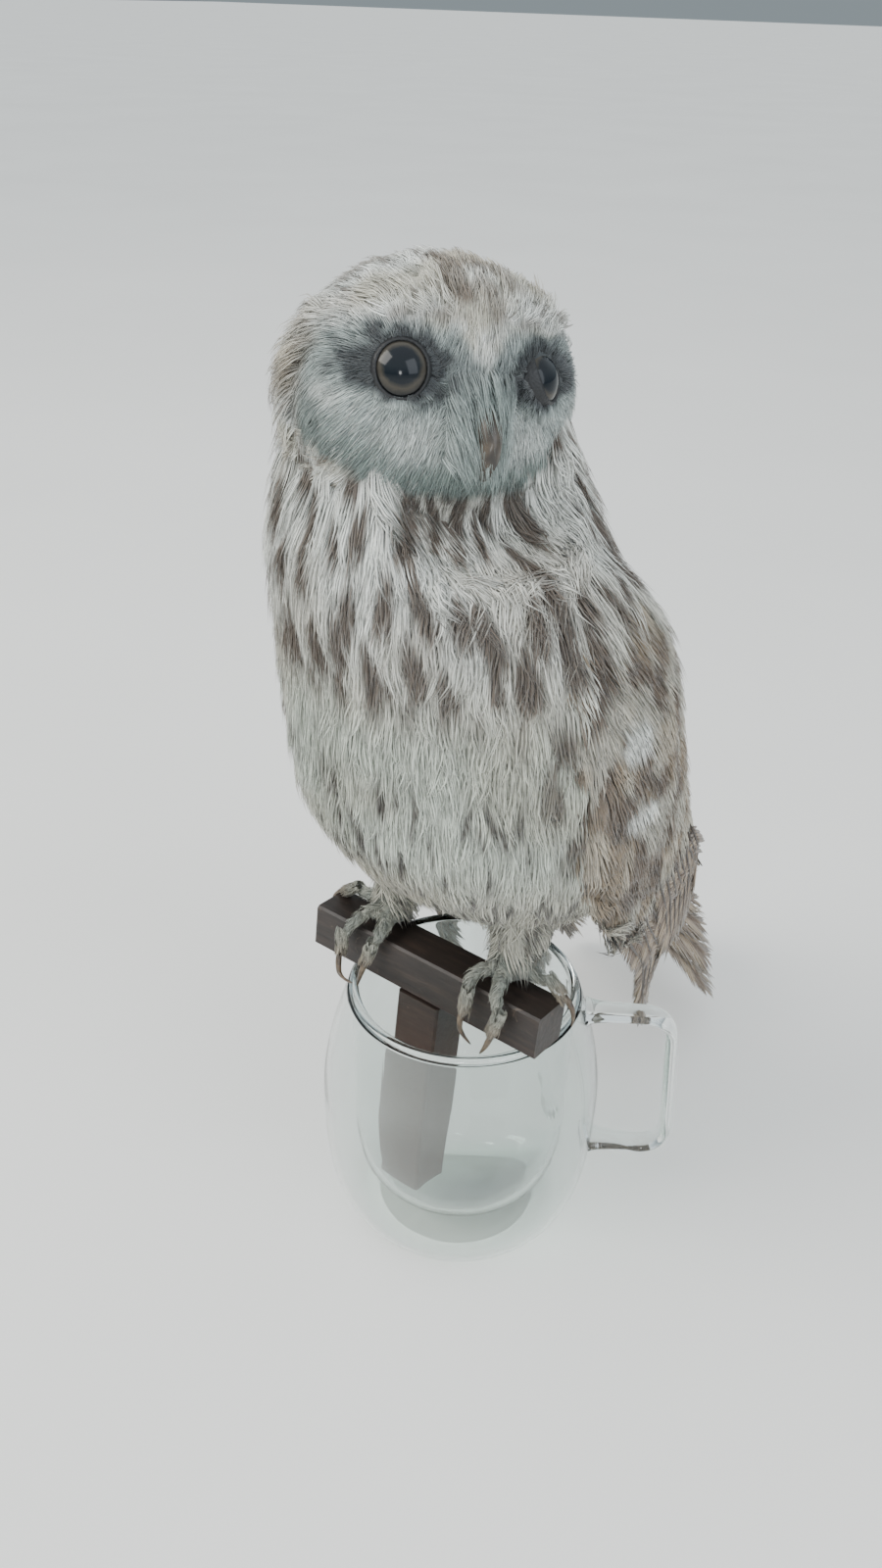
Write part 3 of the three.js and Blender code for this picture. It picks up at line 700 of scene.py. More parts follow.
def wing_colour(points):
    """Brown with cream and buff blotches, pale stripes behind and two white tufts."""
    long_way = points * np.array((1, 1, 0.55))
    colour = mixed(WING_BROWN, DARK_BROWN, 0.5 * ease(0.5, 0.7, cloudy(points, 6, 31)))
    blotches = ease(0.52, 0.64, cloudy(long_way, 5.5, 29))
    colour = mixed(colour, CREAM, 0.62 * blotches)
    colour = mixed(colour, BUFF, 0.45 * ease(0.5, 0.65, cloudy(long_way, 9, 33)))
    behind = ease(6, 26, points[:, 1])
    stripes = ease(0.5, 0.62, cloudy(points * np.array((1, 1, 0.2)), 3.5, 37))
    colour = mixed(colour, CREAM, 0.6 * behind * stripes)
    y, z = points[:, 1], points[:, 2]
    tuft = np.exp(-((y + 7) / 8) ** 2 - ((z - 219) / 6.5) ** 2)
    tuft += np.exp(-((y + 1) / 9) ** 2 - ((z - 193) / 4.5) ** 2)
    return mixed(colour, WHITE, ease(0.3, 0.6, tuft * (points[:, 0] > 0)) * 0.85)


DOWN_GREEN, TOE_BROWN = shades("#94998f", "#85735c")
PERCH_CENTRE = Vector((-4.7, -11.55, 110.2)) * MM
PERCH_TURN = Euler((PERCH_PITCH, math.radians(1.2), 0), "ZYX").to_matrix()
TOE_ENDS = np.array((  # each toe's last joint and where its claw bends, from the bar's middle, mm
    ((21.3, -12.6, 5.5), (21.3, -14.5, -5)), ((33.8, -13.2, 3), (32, -14.2, -6.5)),
    ((43.5, 6, 11.8), (50.5, 6.5, 6)), ((27.5, 13.5, 2), (27.6, 13.4, -8)),
    ((-18.9, -12.8, 4), (-20.8, -14.2, -5.5)), ((-31, -12.8, 2.5), (-28, -16.8, -7.2)),
    ((-41.5, 4, 11.8), (-48.5, 3.8, 6)), ((-23.5, 13.5, 2), (-23.5, 13.4, -8))))
TOE_ENDS = TOE_ENDS @ np.array(PERCH_TURN).T + np.array(PERCH_CENTRE) / MM


def foot_colour(points):
    """Greenish grey down, soiled brown towards the claws, with a few paler patches."""
    shade = ease(0.35, 0.65, cloudy(points, 3, 43))
    colour = mixed(DOWN_GREEN, BELLY_GREY, shade * 0.45)
    soiled = np.zeros(len(points))
    for joint, bend in TOE_ENDS:
        soiled = np.maximum(soiled, np.exp(-((points - (joint + bend) / 2) ** 2).sum(1) / 6 ** 2))
    return mixed(colour, TOE_BROWN, soiled * 0.85)


PAINTERS = {
    "head": head_colour, "eye_left": head_colour, "eye_right": head_colour, "bill": head_colour,
    "neck": body_colour, "trunk": body_colour, "wing_left": wing_colour, "wing_right": wing_colour,
    "tail": wing_colour, "leg_left": foot_colour, "leg_right": foot_colour,
    "foot_left": foot_colour, "foot_right": foot_colour}


def plumage_colour(points, parts):
    """The colour at each place, in mm, of the part of the body it is on."""
    colours = np.empty((len(points), 3))
    for index, name in enumerate(FLESH):
        chosen = parts == index
        if chosen.any():
            colours[chosen] = PAINTERS[name](points[chosen])
    return colours


def coloured(mesh, colours):
    """Stores a colour for each corner of a mesh, which the feather materials read."""
    layer = mesh.color_attributes.new("plumage", "FLOAT_COLOR", "POINT")
    values = np.ones((len(colours), 4), np.float32)
    values[:, :3] = colours
    layer.data.foreach_set("color", values.ravel())


def feather_material(name, roughness, fleck_size, fleck_depth):
    """Keratin barbs: matt, with a soft sheen, and small changes of tone along them."""
    made, tree, surface = new_material(name, Roughness=roughness, Sheen_Weight=0.25, Sheen_Roughness=0.5)
    grown = add_node(tree, "ShaderNodeAttribute", attribute_name="plumage").outputs["Color"]
    flecks = noise(tree, object_coordinates(tree), 1 / (fleck_size * MM), 3.0)
    tone = add_node(tree, "ShaderNodeMapRange", {
        "Value": flecks, "From Min": 0.3, "From Max": 0.7,
        "To Min": 1 - fleck_depth, "To Max": 1 + fleck_depth})
    toned = add_node(tree, "ShaderNodeVectorMath", {
        0: grown, "Scale": tone.outputs["Result"]}, operation="SCALE")
    tree.links.new(toned.outputs["Vector"], surface.inputs["Base Color"])
    bumped(tree, surface, flecks, 0.3, 0.0004)
    return made


skin_mesh.name = "skin"
skin_corners = vertex_rows(skin_mesh, "co")
_, _, facing = nearest(exterior_tree, skin_corners + vertex_rows(skin_mesh, "normal") * 3 * MM)
skin_part = exterior_part[facing]
# The skin takes the plumage's colours a quarter darker: painted shade, for where it lies deep under the coat.
coloured(skin_mesh, plumage_colour(skin_corners / MM, skin_part) * 0.75)
dried_skin = feather_material("dried_skin_with_down", 0.8, 2.0, 0.2)

# The skin is unwrapped into flat pieces of its own shape. Each tuft's patch lies at the
# place that its root has there.
skin = bpy.data.objects.new("skin", skin_mesh)
bpy.context.scene.collection.objects.link(skin)
skin_mesh.uv_layers.new(name="OFBake")
bpy.context.view_layer.objects.active = skin
skin.select_set(True)
bpy.ops.object.mode_set(mode="EDIT")
bpy.ops.mesh.select_all(action="SELECT")
bpy.ops.uv.smart_project(angle_limit=math.radians(66), island_margin=0.002)
bpy.ops.object.mode_set(mode="OBJECT")
skin_mesh.materials.append(dried_skin)
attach(skin, "root")
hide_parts("head", "neck", "trunk", "leg_left", "leg_right", "foot_left", "foot_right")


# -------------------------------------------------------------------------------- coat
# The feathers, each a flat lock of fine barbs that starts in the skin and lies along the
# body, its tip over the roots of the next. All are solid: a barb is a thin three-sided
# blade that narrows to a point.
skin_mesh.calc_loop_triangles()
skin_triangles = read(skin_mesh.loop_triangles, "vertices", 3, np.int32)
triangle_loops = read(skin_mesh.loop_triangles, "loops", 3, np.int32)
triangle_unwrap = read(skin_mesh.uv_layers["OFBake"].data, "uv", 2, np.float32)[triangle_loops]
skin_tree = BVHTree.FromPolygons(skin_corners.tolist(), skin_triangles.tolist())
triangle_corners = skin_corners[skin_triangles]
triangle_cross = np.cross(
    triangle_corners[:, 1] - triangle_corners[:, 0], triangle_corners[:, 2] - triangle_corners[:, 0])
triangle_area = np.linalg.norm(triangle_cross, axis=1) / 2
triangle_middle = triangle_corners.mean(axis=1) / MM
triangle_part = skin_part[skin_triangles[:, 0]]
PATCH = 0.003  # a tuft's size on the unwrap
random = np.random.default_rng(7)


def unit(vectors):
    """The vectors at length 1."""
    return vectors / np.maximum(np.linalg.norm(vectors, axis=-1, keepdims=True), 1e-12)


def covered(places, normals, reach):
    """True where the skin faces another part of itself within a reach in mm."""
    starts = (places + normals * 0.6) * MM
    return np.array([
        skin_tree.ray_cast(start, normal, reach * MM)[0] is not None
        for start, normal in zip(starts.tolist(), normals.tolist())])


def rooted(chosen, spacing, clear=0):
    """Evenly spread roots on the chosen triangles of the skin, a spacing in mm apart:
    their places in mm, and their places on the unwrap. None has skin in front of it
    within clear mm."""
    share = triangle_area * chosen
    tries = int(4 * share.sum() / (spacing * MM) ** 2)
    picks = random.choice(len(share), tries, p=share / share.sum())
    a, b = random.random((2, tries))
    over = a + b > 1
    a[over], b[over] = 1 - a[over], 1 - b[over]
    weights = np.stack([1 - a - b, a, b], axis=1)[:, :, None]
    places = (triangle_corners[picks] * weights).sum(1) / MM
    unwrapped = (triangle_unwrap[picks] * weights).sum(1)
    cells = np.floor(places / spacing).astype(int)
    _, first = np.unique(cells, axis=0, return_index=True)
    kept = first[random.random(len(first)) < 0.85]
    if clear:
        kept = kept[~covered(places[kept], unit(triangle_cross[picks[kept]]), clear)]
    return places[kept], unwrapped[kept]


def unwrap_near(points):
    """The places on the skin's unwrap nearest to points in mm."""
    _, _, faces = nearest(skin_tree, points * MM)
    return triangle_unwrap[faces].mean(axis=1)


def crept(roots, flow, length, rise, stiffness, steps=5):
    """Shafts that leave their roots and creep over the skin along flow(places, normals),
    rising to a height above it: their points and their outward directions, in mm."""
    place = roots.copy()
    _, normal, _ = nearest(skin_tree, place * MM)
    run = flow(place, normal)
    straight = roots.copy()
    points = [roots]
    ups = [normal]
    for k in range(1, steps + 1):
        share = k / steps
        aim = place + run * (length / steps)[:, None]
        straight = straight + run * (length / steps)[:, None]
        found, normal, _ = nearest(skin_tree, aim * MM)
        place = found / MM
        run = unit(run - normal * (run * normal).sum(1, keepdims=True))
        run = unit(run * 0.75 + flow(place, normal) * 0.25)
        standing = place + normal * (rise * share ** 0.8)[:, None]
        points.append(standing + (straight - standing) * stiffness * share)
        ups.append(normal)
    return np.stack(points, 1), np.stack(ups, 1)


def along(rows, share):
    """The values of rows (n, steps + 1, ...) at shares (n, k) of their length."""
    steps = rows.shape[1] - 1
    scaled = np.clip(share, 0, 1.2) * steps
    low = np.clip(np.floor(scaled).astype(int), 0, steps - 1)
    part = (scaled - low)[..., None]
    index = np.arange(len(rows))[:, None]
    return rows[index, low] * (1 - part) + rows[index, low + 1] * part


def heading(rows, share, step):
    """The directions that paths run in at shares (n, k) of their length."""
    return unit(along(rows, share + step) - along(rows, share - step))


def blades(centre, side, up, half, thick):
    """Closed three-sided blades: (n, rings) centres and sizes, with a point at the last."""
    count, rings = half.shape
    body = slice(0, rings - 1)
    left = centre[:, body] + side[:, body] * half[:, body, None]
    right = centre[:, body] - side[:, body] * half[:, body, None]
    ridge = centre[:, body] + up[:, body] * thick[:, body, None]
    trunk_rings = np.stack([left, right, ridge], axis=2).reshape(count, -1, 3)
    corners = np.concatenate([trunk_rings, centre[:, -1:]], axis=1)
    template = [(0, 2, 1)]
    for ring in range(rings - 2):
        a, b, c = 3 * ring, 3 * ring + 1, 3 * ring + 2
        for p, q in ((a, c), (c, b), (b, a)):
            template += [(p, p + 3, q + 3), (p, q + 3, q)]
    a, b, c = 3 * (rings - 2), 3 * (rings - 2) + 1, 3 * (rings - 2) + 2
    tip = 3 * (rings - 1)
    template += [(a, tip, c), (c, tip, b), (b, tip, a)]
    starts = np.arange(count)[:, None, None] * corners.shape[1]
    triangles = (np.array(template)[None] + starts).reshape(-1, 3)
    return corners.reshape(-1, 3), triangles


def per_corner(values, rings):
    """Ring values (n, rings, k) repeated for the corners that blades() makes."""
    body = np.repeat(values[:, :rings - 1], 3, axis=1)
    return np.concatenate([body, values[:, -1:]], axis=1).reshape(-1, values.shape[-1])


def coat_piece(name, parts, material, slot, *replaced):
    """One piece of the coat from (corners mm, triangles, colours, unwrap) parts."""
    starts = np.cumsum([0] + [len(part[0]) for part in parts[:-1]])
    corners = np.concatenate([part[0] for part in parts]) * MM
    triangles = np.concatenate([part[1] + start for part, start in zip(parts, starts)])
    colours = np.concatenate([part[2] for part in parts])
    unwrap = np.concatenate([part[3] for part in parts])
    mesh = bpy.data.meshes.new(name)
    mesh.vertices.add(len(corners))
    mesh.vertices.foreach_set("co", corners.astype(np.float32).ravel())
    mesh.loops.add(triangles.size)
    mesh.loops.foreach_set("vertex_index", triangles.astype(np.int32).ravel())
    mesh.polygons.add(len(triangles))
    mesh.polygons.foreach_set("loop_start", np.arange(0, triangles.size, 3, dtype=np.int32))
    mesh.polygons.foreach_set("use_smooth", np.ones(len(triangles), bool))
    mesh.update(calc_edges=True)
    layer = mesh.uv_layers.new(name="OFBake")
    layer.data.foreach_set("uv", unwrap[triangles.ravel()].astype(np.float32).ravel())
    coloured(mesh, colours)
    piece(name, mesh, material, slot, *replaced)


def locks(roots, unwrapped, flow, colour, length, width, barbs, half_width, rise, **look):
    """Tufts of barbs. length, width and rise are one value or one for each tuft, in mm.
    look holds rings, stiffness, waist (a tuft's width at its root and tip, as a share),
    ragged (how uneven the barbs' ends are), path (their shafts, if not crept), wave (mm),
    tone (how much tufts and barbs differ in brightness), curl (how far tufts bend aside,
    mm), stagger (how unevenly barbs start) and streak (share of tufts with a dark shaft)."""
    count = len(roots)
    rings = look.get("rings", 4)
    length = np.broadcast_to(length, count) * (0.8 + 0.4 * random.random(count))
    width = np.broadcast_to(width, count)
    rise = np.broadcast_to(rise, count) * (0.6 + 0.6 * random.random(count))
    if "path" in look:
        path, ups = look["path"]
    else:
        path, ups = crept(roots, flow, length, rise, look.get("stiffness", 0.25))
    across = np.linspace(-1, 1, barbs)[None] + random.uniform(-0.6, 0.6, (count, barbs)) / barbs
    reach = 1 - 0.22 * across ** 2 - look.get("ragged", 0.2) * random.random((count, barbs))
    ring_share = np.linspace(0, 1, rings)
    start = look.get("stagger", 0.1) * random.random((count, barbs, 1))
    share = start + (reach[:, :, None] - start) * ring_share
    flat_share = share.reshape(count, -1)
    centre = along(path, flat_share)
    up = unit(along(ups, flat_share))
    ahead = heading(path, flat_share, 0.05)
    side = unit(np.cross(ahead, up))
    low_waist, high_waist = look.get("waist", (0.4, 0.45))
    swell = np.where(share < 0.5, low_waist + (1 - low_waist) * np.sin(math.pi * share),
                     high_waist + (1 - high_waist) * np.sin(math.pi * share))
    offset = (across[:, :, None] * swell * (width / 2)[:, None, None]).reshape(count, -1)
    offset += look.get("curl", 0) * random.normal(size=(count, 1)) * flat_share ** 2
    wave = look.get("wave", 0.5) * np.sin(
        2 * math.pi * (0.9 * share + random.random((count, barbs, 1)))).reshape(count, -1) * flat_share
    lifted = 0.35 * rise[:, None, None] * (random.random((count, barbs, 1)) - 0.3) * share
    centre = centre + side * (offset + wave)[:, :, None] + up * lifted.reshape(count, -1)[:, :, None]
    shape = (count * barbs, rings)
    taper = np.interp(ring_share, (0, 0.35, 0.8, 1), (0.7, 1, 0.7, 0))
    half = half_width * taper * np.ones(shape) * random.uniform(0.75, 1.25, (shape[0], 1))
    paint = colour(centre.reshape(-1, 3)).reshape(count, barbs, rings, 3)
    tone = look.get("tone", 0.12)
    bright = 1 + tone * random.normal(size=(count, 1, 1, 1)) * 0.6
    bright = bright + tone * random.normal(size=(count, barbs, 1, 1))
    shaded = 0.72 + 0.34 * share[..., None]
    paint = paint * np.clip(bright, 0.4, 1.6) * shaded
    streak = look.get("streak", 0)
    if streak:
        dark = (random.random((count, 1, 1)) < streak) * (np.abs(across)[:, :, None] < 0.42)
        dark = dark * (share > 0.25) * (share < 0.93)
        paint = np.where(dark[..., None], paint * 0.25 + 0.55 * DROP_BROWN, paint)
    patch = np.stack([
        np.broadcast_to(across[:, :, None], share.shape) * PATCH / 2, (share - 0.5) * PATCH], axis=3)
    patch = patch + unwrapped[:, None, None, :]
    corners, triangles = blades(
        centre.reshape(*shape, 3), side.reshape(*shape, 3), up.reshape(*shape, 3), half, half * 0.6)
    return (corners, triangles, np.clip(per_corner(paint.reshape(*shape, 3), rings), 0.003, 0.95),
            per_corner(patch.reshape(*shape, 2), rings))


def tangent(vectors, normals):
    """Vectors laid flat on a surface, at length 1."""
    return unit(vectors - normals * (vectors * normals).sum(1, keepdims=True))


def restless(vectors, amount):
    """Vectors that each stray a little, at length 1."""
    return unit(vectors + random.normal(size=vectors.shape) * amount)


def body_flow(places, normals):
    """Down the body, and back towards the tail under the belly and over the back."""
    angle = round_body(places)
    backward = 0.12 + 0.9 * (1 - ease(122, 150, places[:, 2])) + 0.25 * ease(60, 130, np.abs(angle))
    shelf = np.clip(normals[:, 2], 0, 1) * 1.3
    turn = np.radians(angle)
    run = np.stack([np.sin(turn) * shelf, backward - np.cos(turn) * shelf, -1 + 0 * shelf], axis=1)
    return restless(tangent(run, normals), 0.10)


def part_is(*names):
    """True for the skin's triangles that are on these parts of the body."""
    return np.isin(triangle_part, [FLESH.index(name) for name in names])


contour = feather_material("contour_feather", 0.62, 1.2, 0.12)
middle_angle = round_body(triangle_middle)
on_body = part_is("neck", "trunk")
on_back = on_body & (np.abs(middle_angle) > 118)
on_front = on_body & ~on_back
high = triangle_middle[:, 2] > 226
upper = on_front & high
left_side = middle_angle > 20

for name, chosen, spacing, barbs, wave in (
    ("breast_feathers_left", upper & left_side, 3.7, 17, 0.9),
    ("breast_feathers_right", upper & ~left_side, 3.7, 17, 0.9),
    ("belly_feathers_left", on_front & ~high & left_side, 3.9, 17, 0.7),
    ("belly_feathers_right", on_front & ~high & ~left_side, 3.9, 17, 0.7),
    ("back_feathers", on_back, 4.8, 15, 0.4),
):
    lock = locks(
        *rooted(chosen, spacing, clear=14), body_flow, body_colour, length=24, width=8.5, barbs=barbs,
        half_width=0.3, rise=6.0, ragged=0.35, tone=0.09, stiffness=0.35, curl=2.2, waist=(0.4, 0.3),
        wave=wave)
    coat_piece(name, [lock], contour, "plumage_pale")

# The head's feathers are the smallest: a buff and white crown, short streaked tufts that
# lie back over the skull and down the nape, rough where the skin has shrunk.
middle_local = head_frame(triangle_middle)
disc_spread, _ = disc_place(middle_local)
skull = part_is("head", "eye_left", "eye_right", "bill")
on_disc = skull & (disc_spread < 1) & (middle_local[:, 1] < -3)
throat = skull & ~on_disc & (middle_local[:, 2] + 0.35 * np.clip(middle_local[:, 1], 0, 40) < -13)
throat &= middle_local[:, 1] < 16
eye_distance = np.hypot(np.abs(middle_local[:, 0]) - EYE_PLACE.x, middle_local[:, 2] - EYE_PLACE.z)
eye_opening = (eye_distance < 6.4) & (middle_local[:, 1] < -12)
to_world = np.array(HEAD_TURN).T


def crown_flow(places, normals):
    """Back over the skull from the brow, and down at the sides and the nape."""
    local = head_frame(places)
    away = unit(local - np.array((0, -34, 10)))
    away[:, 2] -= 1.3 * ease(0, 24, local[:, 1])
    away[:, 2] -= 0.9 * ease(26, 38, np.abs(local[:, 0]))
    return restless(tangent(away @ to_world, normals), 0.3)


crown = feather_material("crown_feather", 0.66, 0.9, 0.14)
roots, unwrapped = rooted(skull & ~on_disc & ~throat, 2.3)
local = head_frame(roots)
puffed = ease(20, 36, np.abs(local[:, 0])) * (1 - ease(14, 26, local[:, 2]))
puffed += 0.8 * np.exp(-((local[:, 0] - 26) / 11) ** 2 - ((local[:, 2] - 21) / 9) ** 2)
lock = locks(roots, unwrapped, crown_flow, head_colour, length=8.5 + 4 * puffed, width=4.0, barbs=9,
             half_width=0.2, rise=3.2 + 5 * puffed, ragged=0.5, tone=0.16, wave=0.4, streak=0.3,
             stiffness=0.5)
coat_piece("crown_feathers", [lock], crown, "plumage_pale")


# The throat's feathers are long and loose. They start under the disc and cover the gap
# between the head and the breast.
def standing(roots, run, length, bend, facing=None):
    """Shafts that stand free of the skin along run and curve by bend, in mm. They face
    the way that the skin under their roots does, or another way that is given."""
    share = np.linspace(0, 1, 6)[None, :, None]
    points = roots[:, None] + run[:, None] * length[:, None, None] * share + bend[:, None] * share ** 2
    if facing is None:
        _, facing, _ = nearest(skin_tree, roots * MM)
    return points, np.broadcast_to(facing[:, None], points.shape)


roots, unwrapped = rooted(throat, 2.9, clear=8)
_, normals, _ = nearest(skin_tree, roots * MM)
level = unit(normals * (1, 1, 0))
hang = tangent(np.array((0, 0, -1.0)), normals) + 0.3 * level
run = unit(hang + random.normal(size=roots.shape) * 0.12)
reach = 19 * random.uniform(0.75, 1.2, len(roots))
bend = -0.2 * level * reach[:, None] - np.array((0, 0, 0.12)) * reach[:, None]
lock = locks(roots, unwrapped, None, head_colour, length=reach, width=8, barbs=15, half_width=0.26,
             rise=1.5, path=standing(roots, run, reach, bend), ragged=0.35, tone=0.09, wave=0.9)
coat_piece("throat_feathers", [lock], contour, "plumage_pale")


# The facial disc: fine hair-like feathers that leave the eyes on every side, dark round
# each eye and grey-white below.
def disc_flow(places, normals):
    """Away from both eyes and from the bill, over the flat of the disc."""
    local = head_frame(places)
    away = np.zeros_like(local)
    for side in (1, -1):
        step = local - np.array((side * EYE_PLACE.x, 0, EYE_PLACE.z))
        step[:, 1] = 0
        far = np.linalg.norm(step, axis=1, keepdims=True)
        away += step / np.maximum(far, 1) / (far + 3) ** 1.5
    from_bill = local - np.array((0, 0, 3))
    from_bill[:, 1] = 0
    far = np.linalg.norm(from_bill, axis=1, keepdims=True)
    away += 0.8 * from_bill / np.maximum(far, 1) / (far + 4) ** 1.5
    away = unit(away)
    away[:, 2] -= 0.25 * (local[:, 2] < EYE_PLACE.z)
    return restless(tangent(away @ to_world, normals), 0.12)


disc_hair = feather_material("disc_feather", 0.68, 0.8, 0.12)
roots, unwrapped = rooted(on_disc & ~eye_opening, 1.5)
local = head_frame(roots)
from_eye = np.hypot(np.abs(local[:, 0]) - EYE_PLACE.x, local[:, 2] - EYE_PLACE.z)
filaments = locks(
    roots, unwrapped, disc_flow, head_colour,
    length=np.interp(from_eye, (7, 14, 22, 30), (5, 8.5, 10, 10)), width=2.4, barbs=6, half_width=0.13,
    rise=np.interp(from_eye, (6.5, 10, 14, 22, 30), (2.8, 2.4, 2.3, 3.4, 3.6)),
    ragged=0.45, tone=0.14, wave=0.3, stiffness=0.4)
coat_piece("disc_feathers", [filaments], disc_hair, "plumage_pale")


# Longer pale filaments lie over the cheeks, and bristles grow forward from both sides of
# the bill until only its ridge and hook show between them.
def pale_colour(places):
    """The head's colours, over half way to white."""
    return mixed(head_colour(places), WHITE, np.full(len(places), 0.55))


below_eye = on_disc & ~eye_opening & (middle_local[:, 2] < EYE_PLACE.z - 4)
below_eye &= np.abs(np.abs(middle_local[:, 0]) - EYE_PLACE.x) < 14
filoplumes = locks(
    *rooted(below_eye, 2.6), disc_flow, pale_colour, length=10, width=2.2, barbs=3, half_width=0.11,
    rise=3.0, ragged=0.4, tone=0.1, wave=0.5, stiffness=0.6)
beside_bill = on_disc & (np.abs(middle_local[:, 0]) < 8)
beside_bill &= (middle_local[:, 2] > -8) & (middle_local[:, 2] < 13)
roots, unwrapped = rooted(beside_bill, 1.3)
local = head_frame(roots)
hand = np.where(local[:, 0] > 0, 1, -1) * np.clip(np.abs(local[:, 0]), 1, 9)
goal = np.stack([0.45 * hand + np.sign(hand) * 0.5, -40.5 + 0.5 * np.abs(hand), local[:, 2] - 13], axis=1)
goal[:, 2] = np.clip(goal[:, 2], -15, -4)
goal += random.normal(size=goal.shape) * (0.8, 0.7, 2.2)
run = unit(np.stack([0.12 * hand, -1 + 0 * hand, 0.3 + 0 * hand], axis=1))
reach = np.full(len(roots), 9.0)
bend = goal - local - run * reach[:, None]
bristles = locks(
    roots, unwrapped, None, head_colour, length=reach, width=1.8, barbs=4, half_width=0.14, rise=0.6,
    path=standing(roots, run @ to_world, reach, bend @ to_world), ragged=0.35, tone=0.2, wave=0.4)
coat_piece("bill_bristles", [filoplumes, bristles], disc_hair, "plumage_pale")


# The ruff: short stiff feathers, flecked brown and white, that stand up at both sides of
# the disc.
def ruff_colour(places):
    """Cream with fine brown flecks."""
    return mixed(CREAM, DROP_BROWN, ease(0.42, 0.58, cloudy(places, 2.4, 47)) * 0.85)


def ruff_flow(places, normals):
    """Outwards from the disc and back."""
    local = head_frame(places)
    away = unit(np.stack([local[:, 0], 9 + 0 * local[:, 0], local[:, 2] - 4], axis=1))
    return restless(tangent(away @ to_world, normals), 0.15)


at_rim = skull & (disc_spread > 0.94) & (disc_spread < 1.25) & (middle_local[:, 1] < 12)
at_rim &= (middle_local[:, 2] < 14) & (np.abs(middle_local[:, 0]) > 24)
ruff = locks(*rooted(at_rim, 1.8), ruff_flow, ruff_colour, length=7, width=2.8, barbs=6,
             half_width=0.2, rise=4.6, ragged=0.3, tone=0.15, wave=0.2, stiffness=0.8)
coat_piece("ruff_feathers", [ruff], crown, "plumage_pale")


# -------------------------------------------------------------------------------- eyes
# Glass eyes with a dull brown iris, set back in thin lids of bare dark skin. The lids close
# a little over the top, and only their edges show between the smallest feathers. The left
# lid also closes further beside the bill, its dark skin over the iris there painted shade.
EYE_RADIUS = 8.6
EYE_SUNK = {"left": 3.0, "right": 1.5}  # how far each is set back from the CAD's, mm
LID_SHUT = {"left": 15, "right": 0}  # degrees that the lid closes further beside the bill; on the left, painted shade over the iris
IRIS_RADIUS = 5.9
PUPIL_RADIUS = 4.3
GAZE_SPAN = 9  # mm from the line of sight where off_gaze reaches 1
EYE_ROWS = 44
EYE_SIDES = 56
LID_SIDES = 64
LASHES = 300
LASH_ANGLES = (47, 72)  # degrees from the line of sight
GAZE_UP = math.radians(24)
GAZE_TURN = {"left": math.radians(92), "right": math.radians(40)}  # from -Y towards +X


def eye_centre(side):
    """The middle of the CAD's eye, in metres."""
    low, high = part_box("eye_" + side)
    return (low + high) / 2


def gaze_of(side):
    """The direction that an eye looks in."""
    turn = GAZE_TURN[side]
    level = math.cos(GAZE_UP)
    return Vector((math.sin(turn) * level, -math.cos(turn) * level, math.sin(GAZE_UP)))


def on_sphere(radius, angle, turn):
    """A point at an angle from +Z, in metres, from a radius in mm."""
    across = math.sin(angle)
    return Vector((across * math.cos(turn), across * math.sin(turn), math.cos(angle))) * radius * MM


def eye_ball(name):
    """A closed ball about +Z with a slight bulge for the cornea. Its off_gaze is each
    corner's distance from the line of sight, as a share of GAZE_SPAN."""
    shape = bmesh.new()
    rows = []
    for i in range(EYE_ROWS + 1):
        angle = math.pi * i / EYE_ROWS
        radius = EYE_RADIUS + 0.4 * math.exp(-(angle / 0.75) ** 2)
        turns = 1 if i in (0, EYE_ROWS) else EYE_SIDES
        rows.append([
            shape.verts.new(on_sphere(radius, angle, 2 * math.pi * k / turns)) for k in range(turns)])
    round_rows(shape, rows, False)
    mesh = finished(shape, name)
    places = vertex_rows(mesh, "co")
    off = np.hypot(places[:, 0], places[:, 1]) / (GAZE_SPAN * MM)
    off[places[:, 2] < 0] = 1
    mesh.attributes.new("off_gaze", "FLOAT", "POINT").data.foreach_set("value", off.astype(np.float32))
    return mesh


def lid_ring(name, shut, shut_turn):
    """A thin band on the ball round its opening, about +Z, its top towards +Y, that closes
    by shut degrees more on the side at shut_turn."""
    shape = bmesh.new()
    rows = []
    for lift, share in ((0.65, 0), (0.75, 0.1), (0.55, 0.5), (0.2, 1), (-0.4, 1), (-0.4, 0.1), (0.1, 0)):
        ring = []
        for k in range(LID_SIDES):
            turn = 2 * math.pi * k / LID_SIDES
            closed = shut * max(0, math.cos(turn - shut_turn))
            opening = math.radians(45 - 4 * math.sin(turn) - 2 * math.cos(2 * turn) - closed)
            angle = opening + share * (math.radians(68) - opening)
            ring.append(shape.verts.new(on_sphere(EYE_RADIUS + lift, angle, turn)))
        rows.append(ring)
    round_rows(shape, rows, True)
    return finished(shape, name)


lid_skin, tree, surface = new_material("bare_lid_skin", Roughness=0.5)
creases = add_node(tree, "ShaderNodeTexVoronoi", {"Vector": object_coordinates(tree), "Scale": 1400.0})
tree.links.new(
    ramp(tree, creases.outputs["Distance"], (0.0, "#0c0d0f"), (1.0, "#1d1e21")), surface.inputs["Base Color"])
bumped(tree, surface, creases.outputs["Distance"], 0.4, 0.0003)

